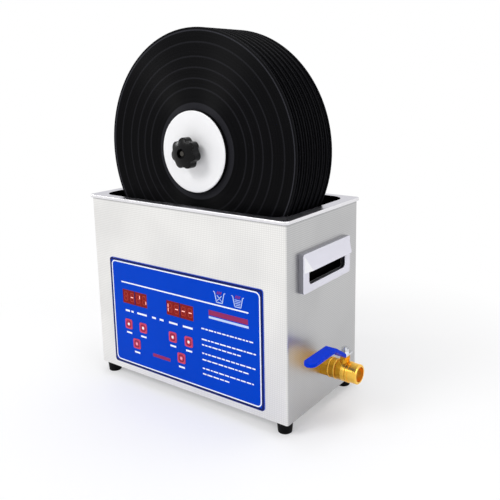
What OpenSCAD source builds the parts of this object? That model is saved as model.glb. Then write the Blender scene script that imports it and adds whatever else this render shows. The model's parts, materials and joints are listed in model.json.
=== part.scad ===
// Ultrasonic record cleaning machine: a heated bath with a motorised record rack
// X runs to the right along the front, Y towards the back, Z up. The feet stand on z = 0.

/* [Housing] */
// Width of the housing from side to side
housing_w = 324; // [318:1:360]
// Depth of the housing from front to back
housing_d = 168; // [164:1:190]
// Height of the folded walls
housing_h = 246; // [240:1:280]
// Thickness of the sheet steel
sheet_t = 1; // [0.8:0.1:1.2]
// Outside radius of the upright folds
fold_r = 3; // [2:0.5:4]
// Width of the flange folded in at the bottom
base_flange = 26; // [22:1:30]

/* [Feet] */
// Height of a rubber foot
foot_h = 15; // [10:1:20]
// Radius of a rubber foot at its top
foot_r = 10; // [9:0.5:12]
// Distance from a wall to the middle of a foot
foot_inset = 12; // [12:0.5:14]

/* [Tank] */
// From the outside of a side wall to the inside of the tank
end_room = 12; // [11:0.5:16]
// From the outside of the front or back wall to the inside of the tank
front_room = 9; // [8.5:0.5:11]
// From the housing's lower edge to the bath's floor
under_room = 97; // [90:1:110]
// Radius of the upright corners of the tank
tank_corner_r = 20; // [16:1:26]
// Radius between the tank's walls and floor
tank_floor_r = 14; // [8:1:15]
// Thickness of the tank's sheet
tank_t = 1; // [0.8:0.1:1.2]
// How far the rim stands out past the housing
rim_over = 3; // [2:0.5:4]
// Height of the rim's turned down edge
rim_edge_h = 4.5; // [3:0.5:6]

/* [Control panel] */
// Width of the panel
panel_w = 261; // [240:1:280]
// Height of the panel
panel_h = 153; // [140:1:160]
// Thickness of the panel
panel_t = 1; // [0.8:0.1:1.5]
// Height of the panel's lower edge over the housing's
panel_rise = 9; // [5:1:20]
// Middle of the panel, to the right of the middle of the housing
panel_x = -1.5; // [-5:0.5:5]
// Radius of the panel's corners
panel_r = 4; // [2:0.5:6]
// Width of a display window
display_w = 47; // [40:1:50]
// Height of a display window
display_h = 20; // [16:1:22]
// Middle of the temperature group, from the middle of the panel
temperature_x = -85; // [-90:1:-80]
// Middle of the timer group, from the middle of the panel
timer_x = -2; // [-6:1:2]
// Height of the displays over the panel's lower edge
display_rise = 100.5; // [96:0.5:104]
// Width of a key
key_w = 13.5; // [11:0.5:15]
// Height of a key
key_h = 14; // [11:0.5:15]
// Spacing of the two keys of a pair
key_pitch = 28; // [22:1:32]
// Height of the paired keys over the panel's lower edge
pair_rise = 61; // [56:1:66]
// Height of the single keys over the panel's lower edge
single_rise = 35; // [28:1:38]
// Travel of a key
key_travel = 0.5; // [0.3:0.1:0.6]

/* [Carry handles] */
// Width of the pressed plate
handle_w = 112; // [100:1:120]
// Height of the pressed plate
handle_h = 48; // [44:1:52]
// How far the plate stands out from the wall
handle_t = 5.5; // [4:0.5:7]
// Height of the plate's lower edge over the housing's
handle_rise = 155; // [150:1:165]
// Width of the finger slot
slot_w = 86; // [76:1:90]
// Height of the open part of the slot
slot_h = 16; // [14:1:18]
// How far the hood bulges out from the plate
hood_out = 8; // [5:0.5:10]
// Thickness of the handle's sheet
handle_sheet = 1.2; // [1:0.1:1.5]

/* [Drain] */
// Height of the drain pipe's axis over the housing's lower edge
drain_rise = 45; // [42:0.5:48]
// Middle of the drain in the tank floor, from the inside of the tank's right wall
drain_inset = 42; // [36:1:46]
// Length of the valve outside the housing
valve_l = 50; // [50:1:56]
// Outside radius of the valve
valve_r = 12.4; // [12.2:0.1:13]
// Radius of the ball
ball_r = 8.5; // [8.2:0.1:8.7]
// Radius of the waterway through the ball
waterway_r = 6; // [5:0.5:6]
// Distance from the wall to the valve's stem
stem_out = 29.5; // [29:0.5:30]
// Radius of the valve's stem
stem_r = 3; // [2.5:0.1:3.2]
// Length of the lever from the stem to its tip
lever_l = 88; // [75:1:100]
// Width of the steel lever
lever_w = 13.4; // [11:0.2:16]
// Height that the cranked lever climbs
lever_climb = 17.5; // [12:0.5:22]
// Thickness of the lever
lever_t = 2.2; // [1.8:0.1:2.6]
// Thickness of the dipped vinyl sleeve
sleeve_t = 1.1; // [0.8:0.1:1.4]

/* [Record rack] */
// Middle of the rack, to the right of the middle of the tank
rack_x = 11; // [0:1:11]
// Gap between a record and the tank's wall at the rim, where the corner is nearest
record_side_gap = 1.2; // [1:0.1:6]
// Height of the label covers' lowest point over the rim, at least
dry_rise = 14.6; // [8:0.1:20]
// Radius of a record
record_r = 150.5; // [149:0.5:151]
// Thickness of a record at its bead and label
record_t = 1.9; // [1.6:0.1:2.2]
// Spacing from one record to the next
record_pitch = 10.8; // [10:0.1:11]
// From the tank's front wall to the middle plane of the front record
record_front_gap = 17; // [16:0.5:19]
// Radius of the label covers
cover_r = 51.4; // [50.5:0.1:54]
// Thickness of a label cover
cover_t = 5.5; // [4.5:0.1:7]
// Radius of the rod through the records
rod_r = 3.5; // [3.2:0.05:3.55]
// Radius of the rod's threaded end
thread_r = 3; // [2.5:0.1:3]
// Radius of the journal in the bush
journal_r = 5; // [4.5:0.1:6]
// Thickness of the rack's sheet steel
rack_sheet = 2; // [1.5:0.1:2.5]
// Width of the upright plate
upright_w = 64; // [60:1:70]
// How far the rack can be raised on its upright
height_travel = 50; // [40:1:55]

/* [Star knob] */
// Number of lobes
lobes = 7; // [5:1:8]
// Radius of the knob over its lobes
knob_r = 19.5; // [18:0.5:21]
// Thickness of the lobed body
knob_body_t = 16; // [13:0.5:18]
// Length of the hub behind the lobes
knob_hub_l = 7; // [5:0.5:9]

/* [Back of the housing] */
// Height of the inlet, switch and fan over the housing's lower edge
rear_rise = 46; // [44:1:50]
// Side of the square fan
fan_w = 60; // [56:1:62]
// Depth of the fan
fan_d = 15; // [12:1:18]
// Middle of the fan
fan_x = 75; // [60:1:85]
// Middle of the mains inlet
inlet_x = -108; // [-112:1:-100]
// Middle of the mains switch
switch_x = -60; // [-64:1:-50]

/* [Hidden] */
$fn = 64;

// Running and assembly clearances
run_gap = 0.05;
slip_gap = 0.3;
key_gap = 0.2;
leg_gap = 1;

// Inside of the tank
tank_w = housing_w - 2 * end_room;
tank_d = housing_d - 2 * front_room;
tank_depth = housing_h + tank_t - under_room;
drain_x = tank_w / 2 - drain_inset;

// Levels, measured from the floor
housing_z = foot_h;
housing_top = housing_z + housing_h;
rim_z = housing_top + tank_t;
tank_floor_z = rim_z - tank_depth;
tank_base_z = tank_floor_z - tank_t;
panel_z = housing_z + panel_rise;
handle_z = housing_z + handle_rise;
drain_z = housing_z + drain_rise;
rear_z = housing_z + rear_rise;

// The spindle is as low as lets the front record pass the tank's corners and keeps the labels dry
record_1_y = -tank_d / 2 + record_front_gap;
corner_y = record_1_y - record_t / 2 + tank_d / 2 - tank_corner_r;
corner_x = tank_w / 2 - tank_corner_r + sqrt(pow(tank_corner_r, 2) - pow(min(corner_y, 0), 2));
chord = corner_x - abs(rack_x) - record_side_gap;
spindle_rise = max(cover_r + dry_rise, sqrt(pow(record_r, 2) - pow(min(chord, record_r), 2)));
spindle_z = rim_z + spindle_rise;

// Faces of the housing and the rim
side_x = housing_w / 2;
front_y = -housing_d / 2;
back_y = housing_d / 2;
rim_w = housing_w + 2 * rim_over;
rim_d = housing_d + 2 * rim_over;
rim_corner_r = fold_r + rim_over;
rim_gap = 0.1;
floor_inner_z = housing_z + 2 * sheet_t;

// Stack of records along the spindle
record_count = 8;
front_cover_y = record_1_y - record_t / 2 - cover_t;
last_record_y = record_1_y + (record_count - 1) * record_pitch;
rear_cover_y = last_record_y + record_t / 2;
collar_y = rear_cover_y + cover_t;
collar_t = 6;
knob_gap = 0.1;
knob_back_y = front_cover_y - knob_gap;
knob_front_y = knob_back_y - knob_hub_l - knob_body_t;

// Rack behind the records
upright_y = tank_d / 2 - leg_gap - rack_sheet;
motor_plate_y = upright_y + rack_sheet + slip_gap;
plate_back_y = motor_plate_y + rack_sheet;
motor_l = 51;
gearbox_l = 22;
cover_wall = 2;
motor_cover_d = motor_l + 3 + cover_wall;
jack_out = 2;
jack_back_y = plate_back_y + motor_cover_d + jack_out;

// Valve outside the right wall
stem_x = side_x + stem_out;
outlet_x = side_x + valve_l;

// Place of the whole in its own frame: over the middle of its box
x_min = -side_x - handle_t - hood_out;
x_max = outlet_x;
y_min = min(knob_front_y, -rim_d / 2, -lever_l);
y_max = jack_back_y;
frame_x = -(x_min + x_max) / 2;
frame_y = -(y_min + y_max) / 2;

steel = "gainsboro";
dark_plastic = "#202022";

module in_frame() translate([frame_x, frame_y, 0]) children();

// Rods from the origin along X, along Y, and a ring's hole along Y
module rod_x(r, l) rotate([0, 90, 0]) cylinder(r = r, h = l);
module rod_y(r, l) rotate([-90, 0, 0]) cylinder(r = r, h = l);

// Rectangle with round corners
module round_rect(w, d, r) {
    square([w - 2 * r, d], center = true);
    square([w, d - 2 * r], center = true);
    for (sx = [-1, 1], sy = [-1, 1])
        translate([sx * (w / 2 - r), sy * (d / 2 - r)]) circle(r = r);
}

// Upright plates with round corners: the first faces along Y, the second along X
module plate_y(w, h, t, r) rotate([90, 0, 0]) translate([0, 0, -t]) linear_extrude(t) round_rect(w, h, r);
module plate_x(w, h, t, r) rotate([90, 0, 90]) linear_extrude(t) round_rect(w, h, r);

// Hexagon across flats, along X or Z
module hex_x(flats, l) rotate([0, 90, 0]) cylinder(d = flats / cos(30), h = l, $fn = 6);
module hex_z(flats, l) cylinder(d = flats / cos(30), h = l, $fn = 6);

// Pressed bowl shape with round corners and a rounded lower edge
module bowl(w, d, h, corner_r, floor_r) {
    translate([0, 0, floor_r]) linear_extrude(h - floor_r) round_rect(w, d, corner_r);
    linear_extrude(h / 2) round_rect(w - 2 * floor_r, d - 2 * floor_r, corner_r - floor_r);
    for (s = [-1, 1]) {
        translate([0, s * (d / 2 - floor_r), floor_r]) rotate([0, 90, 0])
            cylinder(r = floor_r, h = w - 2 * corner_r, center = true);
        translate([s * (w / 2 - floor_r), 0, floor_r]) rotate([90, 0, 0])
            cylinder(r = floor_r, h = d - 2 * corner_r, center = true);
    }
    for (sx = [-1, 1], sy = [-1, 1])
        translate([sx * (w / 2 - corner_r), sy * (d / 2 - corner_r), 0]) rotate_extrude() intersection() {
            translate([corner_r - floor_r, floor_r]) circle(r = floor_r);
            square([corner_r, 2 * floor_r]);
        }
}

// A 2-D profile carried once round a rectangle with round corners.
// The profile's x runs outward from the corner circles' centres.
module rim_sweep(w, d, r) {
    for (s = [0, 1]) {
        rotate(180 * s) translate([w / 2 - r, 0, 0]) rotate([90, 0, 0])
            linear_extrude(d - 2 * r, center = true) children();
        rotate(90 + 180 * s) translate([d / 2 - r, 0, 0]) rotate([90, 0, 0])
            linear_extrude(w - 2 * r, center = true) children();
    }
    for (i = [0 : 3])
        translate([(i == 0 || i == 3 ? 1 : -1) * (w / 2 - r), (i < 2 ? 1 : -1) * (d / 2 - r), 0])
            rotate(90 * i) rotate_extrude(angle = 90) children();
}

// Middles of the feet, and of the six keys: pair, pair, single in each group
module at_feet() for (sx = [-1, 1], sy = [-1, 1])
    translate([sx * (side_x - foot_inset), sy * (back_y - foot_inset), 0]) children();
key_places = [for (group_x = [temperature_x, timer_x]) each [
    [group_x - key_pitch / 2, pair_rise],
    [group_x + key_pitch / 2, pair_rise],
    [group_x, single_rise]]];
key_r = 2.4;
key_stem_r = 3;
handle_y = -1.5;

// Folded housing: four walls and a flange turned in at the bottom
module housing() in_frame() color(steel) difference() {
    translate([0, 0, housing_z]) linear_extrude(housing_h) round_rect(housing_w, housing_d, fold_r);
    translate([0, 0, housing_z + sheet_t]) linear_extrude(housing_h)
        round_rect(housing_w - 2 * sheet_t, housing_d - 2 * sheet_t, fold_r - sheet_t);
    translate([0, 0, housing_z - 1]) linear_extrude(sheet_t + 2)
        round_rect(housing_w - 2 * base_flange, housing_d - 2 * base_flange, 6);
    at_feet() translate([0, 0, housing_z - 1]) cylinder(r = screw_r + slip_gap, h = sheet_t + 2);
    front_holes();
    for (s = [-1, 1]) translate([s * (side_x + 1), handle_y, slot_mid_z]) mirror([s > 0 ? 1 : 0, 0, 0])
        plate_x(slot_w, slot_full_h, sheet_t + 2, slot_r);
    translate([side_x - sheet_t - 1, 0, drain_z]) rod_x(stub_r + 1, sheet_t + 2);
    translate([inlet_x, back_y - sheet_t - 1, rear_z]) plate_y(inlet_w + 0.6, inlet_h + 0.6, sheet_t + 2, 3);
    translate([switch_x, back_y - sheet_t - 1, rear_z])
        plate_y(switch_w + 0.4, switch_h + 0.4, sheet_t + 2, 1);
    translate([fan_x, back_y - sheet_t - 1, rear_z]) rod_y(fan_bore_r, sheet_t + 2);
}

// Windows and key holes through the front wall
module front_holes() translate([panel_x, front_y - 1, panel_z]) {
    for (x = [temperature_x, timer_x]) translate([x, 0, display_rise])
        plate_y(display_w, display_h, sheet_t + 2, 1);
    for (p = key_places) translate([p[0], 0, p[1]]) rod_y(key_stem_r + 0.5, sheet_t + 2);
}

// Deep drawn tank with its rim, which hangs over the housing's top edge
module tank() in_frame() color("lightgray") difference() {
    union() {
        translate([0, 0, tank_base_z])
            bowl(tank_w + 2 * tank_t, tank_d + 2 * tank_t, tank_depth + tank_t, tank_corner_r + tank_t,
                tank_floor_r + tank_t);
        translate([0, 0, housing_top]) linear_extrude(tank_t)
            round_rect(rim_w - 2 * rim_round, rim_d - 2 * rim_round, rim_corner_r - rim_round);
        rim_sweep(rim_w, rim_d, rim_corner_r)
            translate([rim_corner_r - rim_over + rim_gap, rim_z - rim_edge_h]) rim_edge();
    }
    translate([0, 0, tank_floor_z]) bowl(tank_w, tank_d, tank_depth + 1, tank_corner_r, tank_floor_r);
    translate([drain_x, 0, tank_base_z - 1]) cylinder(r = tail_r + 0.2, h = tank_t + 2);
}
rim_round = 1.3;

// Section of the turned down edge, with its two outer corners rounded
module rim_edge() {
    edge_w = rim_over - rim_gap;
    square([edge_w - rim_round, rim_edge_h]);
    translate([0, rim_round]) square([edge_w, rim_edge_h - 2 * rim_round]);
    for (h = [rim_round, rim_edge_h - rim_round]) translate([edge_w - rim_round, h]) circle(r = rim_round);
}

// Cover of the housing's bottom, with two rows of air slots
module base_plate() in_frame() color("silver") difference() {
    translate([0, 0, housing_z + sheet_t]) linear_extrude(sheet_t)
        round_rect(housing_w - 2 * sheet_t - 1, housing_d - 2 * sheet_t - 1, 2);
    for (i = [-vent_count / 2 : vent_count / 2], sy = [-1, 1])
        translate([i * vent_pitch, sy * vent_row_y, housing_z + sheet_t - 1]) linear_extrude(sheet_t + 2)
            round_rect(vent_w, vent_l, vent_w / 2 - 0.01);
    at_feet() translate([0, 0, housing_z + sheet_t - 1]) cylinder(r = screw_r + slip_gap, h = sheet_t + 2);
}
vent_count = 10;
vent_pitch = 12;
vent_w = 4;
vent_l = 36;
vent_row_y = 30;

// Four rubber feet, each held by a screw in a counterbore
screw_r = 2;
screw_head_r = 3.6;
screw_head_h = 2.6;
foot_web = 5;
module rubber_feet() in_frame() color(dark_plastic) at_feet() rotate_extrude() difference() {
    union() {
        polygon([[0, foot_edge], [foot_low_r, foot_edge], [foot_r, foot_h - 1], [foot_r, foot_h],
            [0, foot_h]]);
        square([foot_low_r - foot_edge, foot_h / 2]);
        translate([foot_low_r - foot_edge, foot_edge]) circle(r = foot_edge);
    }
    translate([-foot_r, -1]) square([foot_r, foot_h + 2]);
    square([screw_r + 0.2, foot_h]);
    translate([0, -1]) square([screw_head_r + 0.4, foot_h - foot_web + 1]);
}
foot_edge = 1.2;
foot_low_r = foot_r - 1.2;

module foot_screws() in_frame() color("silver") at_feet() translate([0, 0, foot_h - foot_web]) {
    cylinder(r = screw_r, h = foot_web + 2 * sheet_t + 5);
    translate([0, 0, -screw_head_h]) difference() {
        cylinder(r = screw_head_r, h = screw_head_h);
        translate([0, 0, -1]) for (a = [0, 90]) rotate(a) translate([-2.2, -0.4, 0]) cube([4.4, 0.8, 2.2]);
    }
    translate([0, 0, foot_web + 2 * sheet_t]) hex_z(7, 3.2);
}

// Printed front panel with windows for the displays and openings for the keys
module control_panel() in_frame() color("royalblue")
    translate([panel_x, front_y - panel_t, panel_z]) difference() {
        translate([0, 0, panel_h / 2]) plate_y(panel_w, panel_h, panel_t, panel_r);
        for (x = [temperature_x, timer_x]) translate([x, -1, display_rise])
            plate_y(display_w, display_h, panel_t + 2, 1);
        for (p = key_places) translate([p[0], -1, p[1]])
            plate_y(key_w + 2 * key_gap, key_h + 2 * key_gap, panel_t + 2, key_r + key_gap);
    }

// A display is two red digit modules side by side, on the board and up to the window
board_y = front_y + 4.4;
board_t = 1.6;
display_recess = 0.3;
display_gap = 0.3;
digit_w = 10;
digit_h = 15.6;
module display() for (s = [-1, 1]) difference() {
    translate([s * display_w / 4 - display_w / 4 + display_gap, front_y - panel_t + display_recess,
        -display_h / 2 + display_gap])
        cube([display_w / 2 - 2 * display_gap, board_y - front_y + panel_t - display_recess,
            display_h - 2 * display_gap]);
    for (d = [-1, 1]) translate([s * display_w / 4 + d * display_w / 8 - digit_w / 2,
        front_y - panel_t + display_recess - 1, -digit_h / 2]) cube([digit_w, 1.3, digit_h]);
}
module temperature_display() in_frame() color("#a01818")
    translate([panel_x + temperature_x, 0, panel_z + display_rise]) display();
module timer_display() in_frame() color("#a01818")
    translate([panel_x + timer_x, 0, panel_z + display_rise]) display();

// Circuit board behind the panel with a tactile switch behind every key
board_w = 150;
board_h = 96;
board_mid_x = (temperature_x + timer_x) / 2;
board_rise = 22;
tact_gap = 0.1;
key_stem_end = front_y + 1.2;
module control_board() in_frame() color("darkgreen") translate([panel_x, 0, panel_z]) {
    translate([board_mid_x, board_y, board_rise + board_h / 2]) plate_y(board_w, board_h, board_t, 2);
    for (p = key_places) translate([p[0], key_stem_end + key_travel + tact_gap, p[1]]) {
        rod_y(1.7, board_y - key_stem_end - key_travel - tact_gap);
        translate([-3, 0.9, -3]) cube([6, board_y - key_stem_end - key_travel - tact_gap - 0.9, 6]);
    }
    for (sx = [-1, 1], h = [5, board_h - 5])
        translate([board_mid_x + sx * (board_w / 2 - 5), front_y + sheet_t, board_rise + h])
            rod_y(3, board_y - front_y - sheet_t);
    translate([board_mid_x - 6, board_y + board_t, board_rise + 4]) cube([30, 5, 8]);
}

// A key: a cap in the panel and a stem through the wall
key_proud = 0.5;
key_clear = 0.05;
module key(index) in_frame() color("crimson")
    translate([panel_x, front_y - panel_t - key_proud, panel_z])
    translate([key_places[index][0], 0, key_places[index][1]]) {
        cap_t = panel_t + key_proud - key_travel - key_clear;
        plate_y(key_w, key_h, cap_t, key_r);
        rod_y(key_stem_r, key_stem_end - front_y + panel_t + key_proud);
    }

// Three sandwich transducers bonded under the tank
transducer_x = [-105, -35, 35];
front_mass_r = 25;
front_mass_h = 24;
piezo_r = 19;
piezo_t = 5;
back_mass_r = 20;
back_mass_h = 20;
electrode_t = 0.4;
module at_transducers(drop) for (x = transducer_x) translate([x, 0, tank_base_z - drop]) children();
module transducer_front_masses() in_frame() color("silver") at_transducers(front_mass_h) rotate_extrude()
    polygon([[0, 0], [piezo_r + 1, 0], [piezo_r + 1, 5], [front_mass_r, front_mass_h - 6],
        [front_mass_r, front_mass_h], [0, front_mass_h]]);
module piezo_rings() in_frame() color("ivory")
    for (i = [1, 2]) at_transducers(front_mass_h + i * (piezo_t + electrode_t) - electrode_t) difference() {
        union() {
            cylinder(r = piezo_r, h = piezo_t);
            translate([0, 0, -electrode_t]) cylinder(r = piezo_r - 1, h = electrode_t);
            translate([-2, 0, -electrode_t]) cube([4, piezo_r + 5, electrode_t]);
        }
        translate([0, 0, -1]) cylinder(r = 5.5, h = piezo_t + 2);
    }
module transducer_back_masses() in_frame() color("dimgray")
    at_transducers(front_mass_h + 2 * (piezo_t + electrode_t) + back_mass_h) {
        difference() {
            cylinder(r = back_mass_r, h = back_mass_h);
            translate([0, 0, -1]) cylinder(r = 7.5, h = 7);
        }
        translate([0, 0, 1]) difference() {
            cylinder(r = 6.5, h = 5.5);
            translate([0, 0, -1]) hex_z(6, 4);
        }
        cylinder(r = 4, h = back_mass_h + 2 * (piezo_t + electrode_t));
    }

// Silicone heating pads bonded to the tank's front and back walls
module heating_pads() in_frame() color("orangered")
    for (s = [-1, 1])
        translate([pad_x, s * (tank_d / 2 + tank_t) - (s < 0 ? pad_t : 0), tank_floor_z + pad_rise])
            plate_y(pad_w, pad_h, pad_t, 3);
pad_w = 180;
pad_h = 46;
pad_t = 1.5;
pad_x = -10;
pad_rise = 93;

// Generator board on four pillars over the base plate
generator_w = 140;
generator_d = 84;
generator_mid_x = -65;
generator_mid_y = -8;
pillar_h = 8;
pillar_inset = 6;
capacitor_r = 11;
capacitor_h = 24;
coil_wire_r = 4.8;
coil_mean_r = 9;
core_w = 26;
core_d = 30;
core_h = 20;
generator_z = floor_inner_z + pillar_h;
module generator_board() in_frame() color("darkgreen")
    translate([generator_mid_x, generator_mid_y, generator_z]) {
        linear_extrude(board_t) round_rect(generator_w, generator_d, 2);
        for (sx = [-1, 1], sy = [-1, 1])
            translate([sx * (generator_w / 2 - pillar_inset), sy * (generator_d / 2 - pillar_inset),
                -pillar_h]) cylinder(r = 3, h = pillar_h);
        translate([0, 0, board_t]) {
            // Wound toroid, two capacitors, the transformer with its winding, and four film capacitors
            translate([-generator_w / 2 + 24, 14, 0]) rotate_extrude()
                translate([coil_mean_r, coil_wire_r - 0.2]) circle(r = coil_wire_r);
            for (i = [0, 1])
                translate([-14 + i * (2 * capacitor_r + 4), generator_d / 2 - 2 * capacitor_r, 0])
                    cylinder(r = capacitor_r, h = capacitor_h);
            translate([generator_w / 2 - core_w - 10, -core_d + 6, 0]) {
                cube([core_w, core_d, core_h]);
                translate([4, -4, 4]) cube([core_w - 8, core_d + 8, core_h - 8]);
            }
            for (i = [0 : 3]) translate([-50 + i * 16, -30, 0]) cube([8, 18, 14]);
        }
    }

// Finned heat sink of the power transistors, beside the board
fin_count = 9;
sink_w = 50;
sink_d = 60;
sink_base = 5;
fin_t = 2;
fin_h = 22;
module heat_sink() in_frame() color("silver")
    translate([generator_mid_x + generator_w / 2 + 12, generator_mid_y - sink_d / 2 + 4, floor_inner_z]) {
        cube([sink_w, sink_d, sink_base]);
        for (i = [0 : fin_count - 1]) translate([i * (sink_w - fin_t) / (fin_count - 1), 0, sink_base - 1])
            cube([fin_t, sink_d, fin_h]);
    }

// Drain: flanged fitting in the tank floor, screwed into an elbow that leads to the side wall
tail_r = 10;
drain_bore_r = 7;
elbow_r = 13;
stub_r = 10.4;
flange_r = 17;
elbow_top_z = tank_base_z;
elbow_hex_h = 12;
tail_l = 26;
module drain_fitting() in_frame() color("silver") translate([drain_x, 0, tank_floor_z]) difference() {
    union() {
        cylinder(r = flange_r, h = 2.5);
        translate([0, 0, -tail_l]) cylinder(r = tail_r, h = tail_l + 1);
    }
    translate([0, 0, -tail_l - 1]) cylinder(r = drain_bore_r, h = tail_l + 1);
    for (i = [0 : 5]) rotate(60 * i) translate([4.2, 0, -2]) cylinder(r = 1.5, h = 6);
    translate([0, 0, -2]) cylinder(r = 1.5, h = 6);
}
module drain_elbow() in_frame() color("goldenrod") translate([drain_x, 0, drain_z]) difference() {
    arm_l = side_x - sheet_t - 0.5 - drain_x;
    union() {
        cylinder(r = elbow_r, h = elbow_top_z - drain_z);
        rod_x(elbow_r, arm_l);
        sphere(r = elbow_r);
        translate([0, 0, elbow_top_z - drain_z - elbow_hex_h]) hex_z(30, elbow_hex_h);
    }
    cylinder(r = drain_bore_r, h = elbow_top_z - drain_z + 1);
    translate([0, 0, tank_floor_z - tail_l - drain_z - 0.2])
        cylinder(r = tail_r + run_gap, h = tail_l + 1);
    rod_x(drain_bore_r, arm_l + 1);
    translate([side_x - stub_in - drain_x, 0, 0]) rod_x(stub_r + run_gap, stub_in);
    sphere(r = drain_bore_r);
}
stub_in = 18;

// Brass ball valve: body, end piece, seats and ball, along X from the wall
hex_l = 10.5;
cavity_r = ball_r + 0.5;
cavity_x = stem_x - ball_r - 1.2;
sleeve_end_x = stem_x + ball_r + 1.4;
gland_r = 6;
joint_x = stem_x + gland_r + 0.1;
gland_top = 22.2;
module valve_body() in_frame() color("goldenrod") translate([0, 0, drain_z]) difference() {
    union() {
        // Turned from the threaded stub inside the wall to the sleeve inside the end piece
        along_x() polygon([
            [waterway_r + 0.5, side_x - stub_in], [stub_r, side_x - stub_in], [stub_r, side_x],
            [valve_r - 1, side_x], [valve_r - 1, neck_x], [valve_r, neck_x + 1], [valve_r, neck_x + 8],
            [valve_r - 0.7, neck_x + 9], [valve_r - 0.7, neck_x + 10], [valve_r, neck_x + 11],
            [valve_r, joint_x], [cavity_r + 1.5, joint_x], [cavity_r + 1.5, sleeve_end_x],
            [cavity_r, sleeve_end_x], [cavity_r, cavity_x], [waterway_r + 0.5, cavity_x]]);
        translate([side_x, 0, 0]) difference() {
            hex_x(2 * valve_r - 1, hex_l);
            translate([-1, 0, 0]) rod_x(valve_r - 2, hex_l + 2);
        }
        translate([stem_x, 0, cavity_r + 1]) cylinder(r = gland_r, h = gland_top - 5 - cavity_r - 1);
        translate([stem_x, 0, gland_top - 6]) hex_z(11.5, 6);
    }
    translate([stem_x, 0, cavity_r - 1]) cylinder(r = stem_r + run_gap, h = gland_top - cavity_r + 2);
}
neck_x = side_x + hex_l;

// A section turned about X: its x is the radius and its y the place along X
module along_x() rotate([0, 90, 0]) rotate_extrude() children();

// A rod, or a tube with an inside radius, between two places along X
module rod_x_from(x0, x1, r, inner_r = 0) translate([x0, 0, 0]) difference() {
    rod_x(r, x1 - x0);
    if (inner_r > 0) translate([-1, 0, 0]) rod_x(inner_r, x1 - x0 + 2);
}

nipple_bore_r = 9.3;
nipple_bore_l = 9.5;
module outlet_nipple() in_frame() color("goldenrod") translate([0, 0, drain_z]) difference() {
    union() {
        rod_x_from(joint_x, outlet_x - 1, valve_r - 0.1);
        rod_x_from(joint_x, joint_x + 2.5, valve_r + 0.6);
        translate([outlet_x - 1, 0, 0]) rotate([0, 90, 0])
            cylinder(r1 = valve_r - 0.1, r2 = valve_r - 1, h = 1);
    }
    rod_x_from(joint_x - 1, sleeve_end_x + 0.1, cavity_r + 1.5 + run_gap);
    rod_x_from(joint_x, outlet_x, waterway_r + 0.5);
    rod_x_from(outlet_x - nipple_bore_l, outlet_x + 1, nipple_bore_r);
}
module valve_seats() in_frame() color("white") translate([0, 0, drain_z]) difference() {
    union() {
        rod_x_from(cavity_x, cavity_x + 3.4, cavity_r - run_gap);
        rod_x_from(sleeve_end_x - 3.6, sleeve_end_x, cavity_r - run_gap);
    }
    rod_x_from(cavity_x - 1, sleeve_end_x + 1, waterway_r + 0.5);
    translate([stem_x, 0, 0]) sphere(r = ball_r + slip_gap);
}
tang_w = 2.8;
tang_h = 2;
module valve_ball() in_frame() color("silver") translate([stem_x, 0, drain_z]) difference() {
    sphere(r = ball_r);
    translate([0, -ball_r - 1, 0]) rod_y(waterway_r, 2 * ball_r + 2);
    translate([-tang_w / 2 - 0.05, -ball_r, ball_r - tang_h]) cube([tang_w + 0.1, 2 * ball_r, tang_h + 1]);
}

// Stem through the gland, with the lever and its nut on top
lever_z = drain_z + gland_top + 0.4;
lever_nut_h = 5;
stem_proud = 1.6;
module valve_stem() in_frame() color("silver") translate([stem_x, 0, drain_z]) {
    translate([0, 0, ball_r])
        cylinder(r = stem_r, h = lever_z - drain_z - ball_r + lever_t + lever_nut_h + stem_proud);
    intersection() {
        translate([-tang_w / 2, -stem_r, ball_r - tang_h]) cube([tang_w, 2 * stem_r, tang_h + 1]);
        translate([0, 0, ball_r - tang_h]) cylinder(r = stem_r, h = tang_h + 1);
    }
}

// Side view of the cranked lever as a strip: flat at the stem, up a slope, then level
crank_start = 9;
crank_end = 35;
module lever_strip(grow, from, to) {
    slope = atan2(lever_climb, crank_end - crank_start);
    shift = tan(slope / 2);
    polygon([
        [from, -grow],
        [crank_start + grow * shift, -grow],
        [crank_end + grow * shift, lever_climb - grow],
        [to, lever_climb - grow],
        [to, lever_climb + lever_t + grow],
        [crank_end - (lever_t + grow) * shift, lever_climb + lever_t + grow],
        [crank_start - (lever_t + grow) * shift, lever_t + grow],
        [from, lever_t + grow]]);
}

// The lever's strip, cut to a plan with a round tip; it points to the front when closed
module lever_shape(grow, to, start) intersection() {
    rotate([90, 0, -90]) linear_extrude(lever_w + 2 * grow + 4, center = true)
        lever_strip(grow, -lever_tail, to);
    translate([0, 0, -5]) linear_extrude(lever_climb + 15) {
        tip_r = lever_w / 2 + grow;
        translate([0, -to + tip_r]) circle(r = tip_r);
        translate([-tip_r, -to + tip_r]) square([2 * tip_r, to - start - tip_r]);
    }
}
lever_tail = 6.5;
sleeve_start = 11;
module valve_lever() in_frame() color("silver") translate([stem_x, 0, lever_z]) difference() {
    lever_shape(0, lever_l - sleeve_t, -lever_tail);
    translate([0, 0, -1]) cylinder(r = stem_r + run_gap, h = lever_t + 2);
}
module lever_sleeve() in_frame() color("blue") translate([stem_x, 0, lever_z]) difference() {
    lever_shape(sleeve_t, lever_l, sleeve_start);
    lever_shape(0, lever_l - sleeve_t, -lever_tail);
}
module lever_nut() in_frame() color("silver") translate([stem_x, 0, lever_z + lever_t]) difference() {
    hex_z(9, lever_nut_h);
    translate([0, 0, -1]) cylinder(r = stem_r + run_gap, h = lever_nut_h + 2);
}

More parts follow.
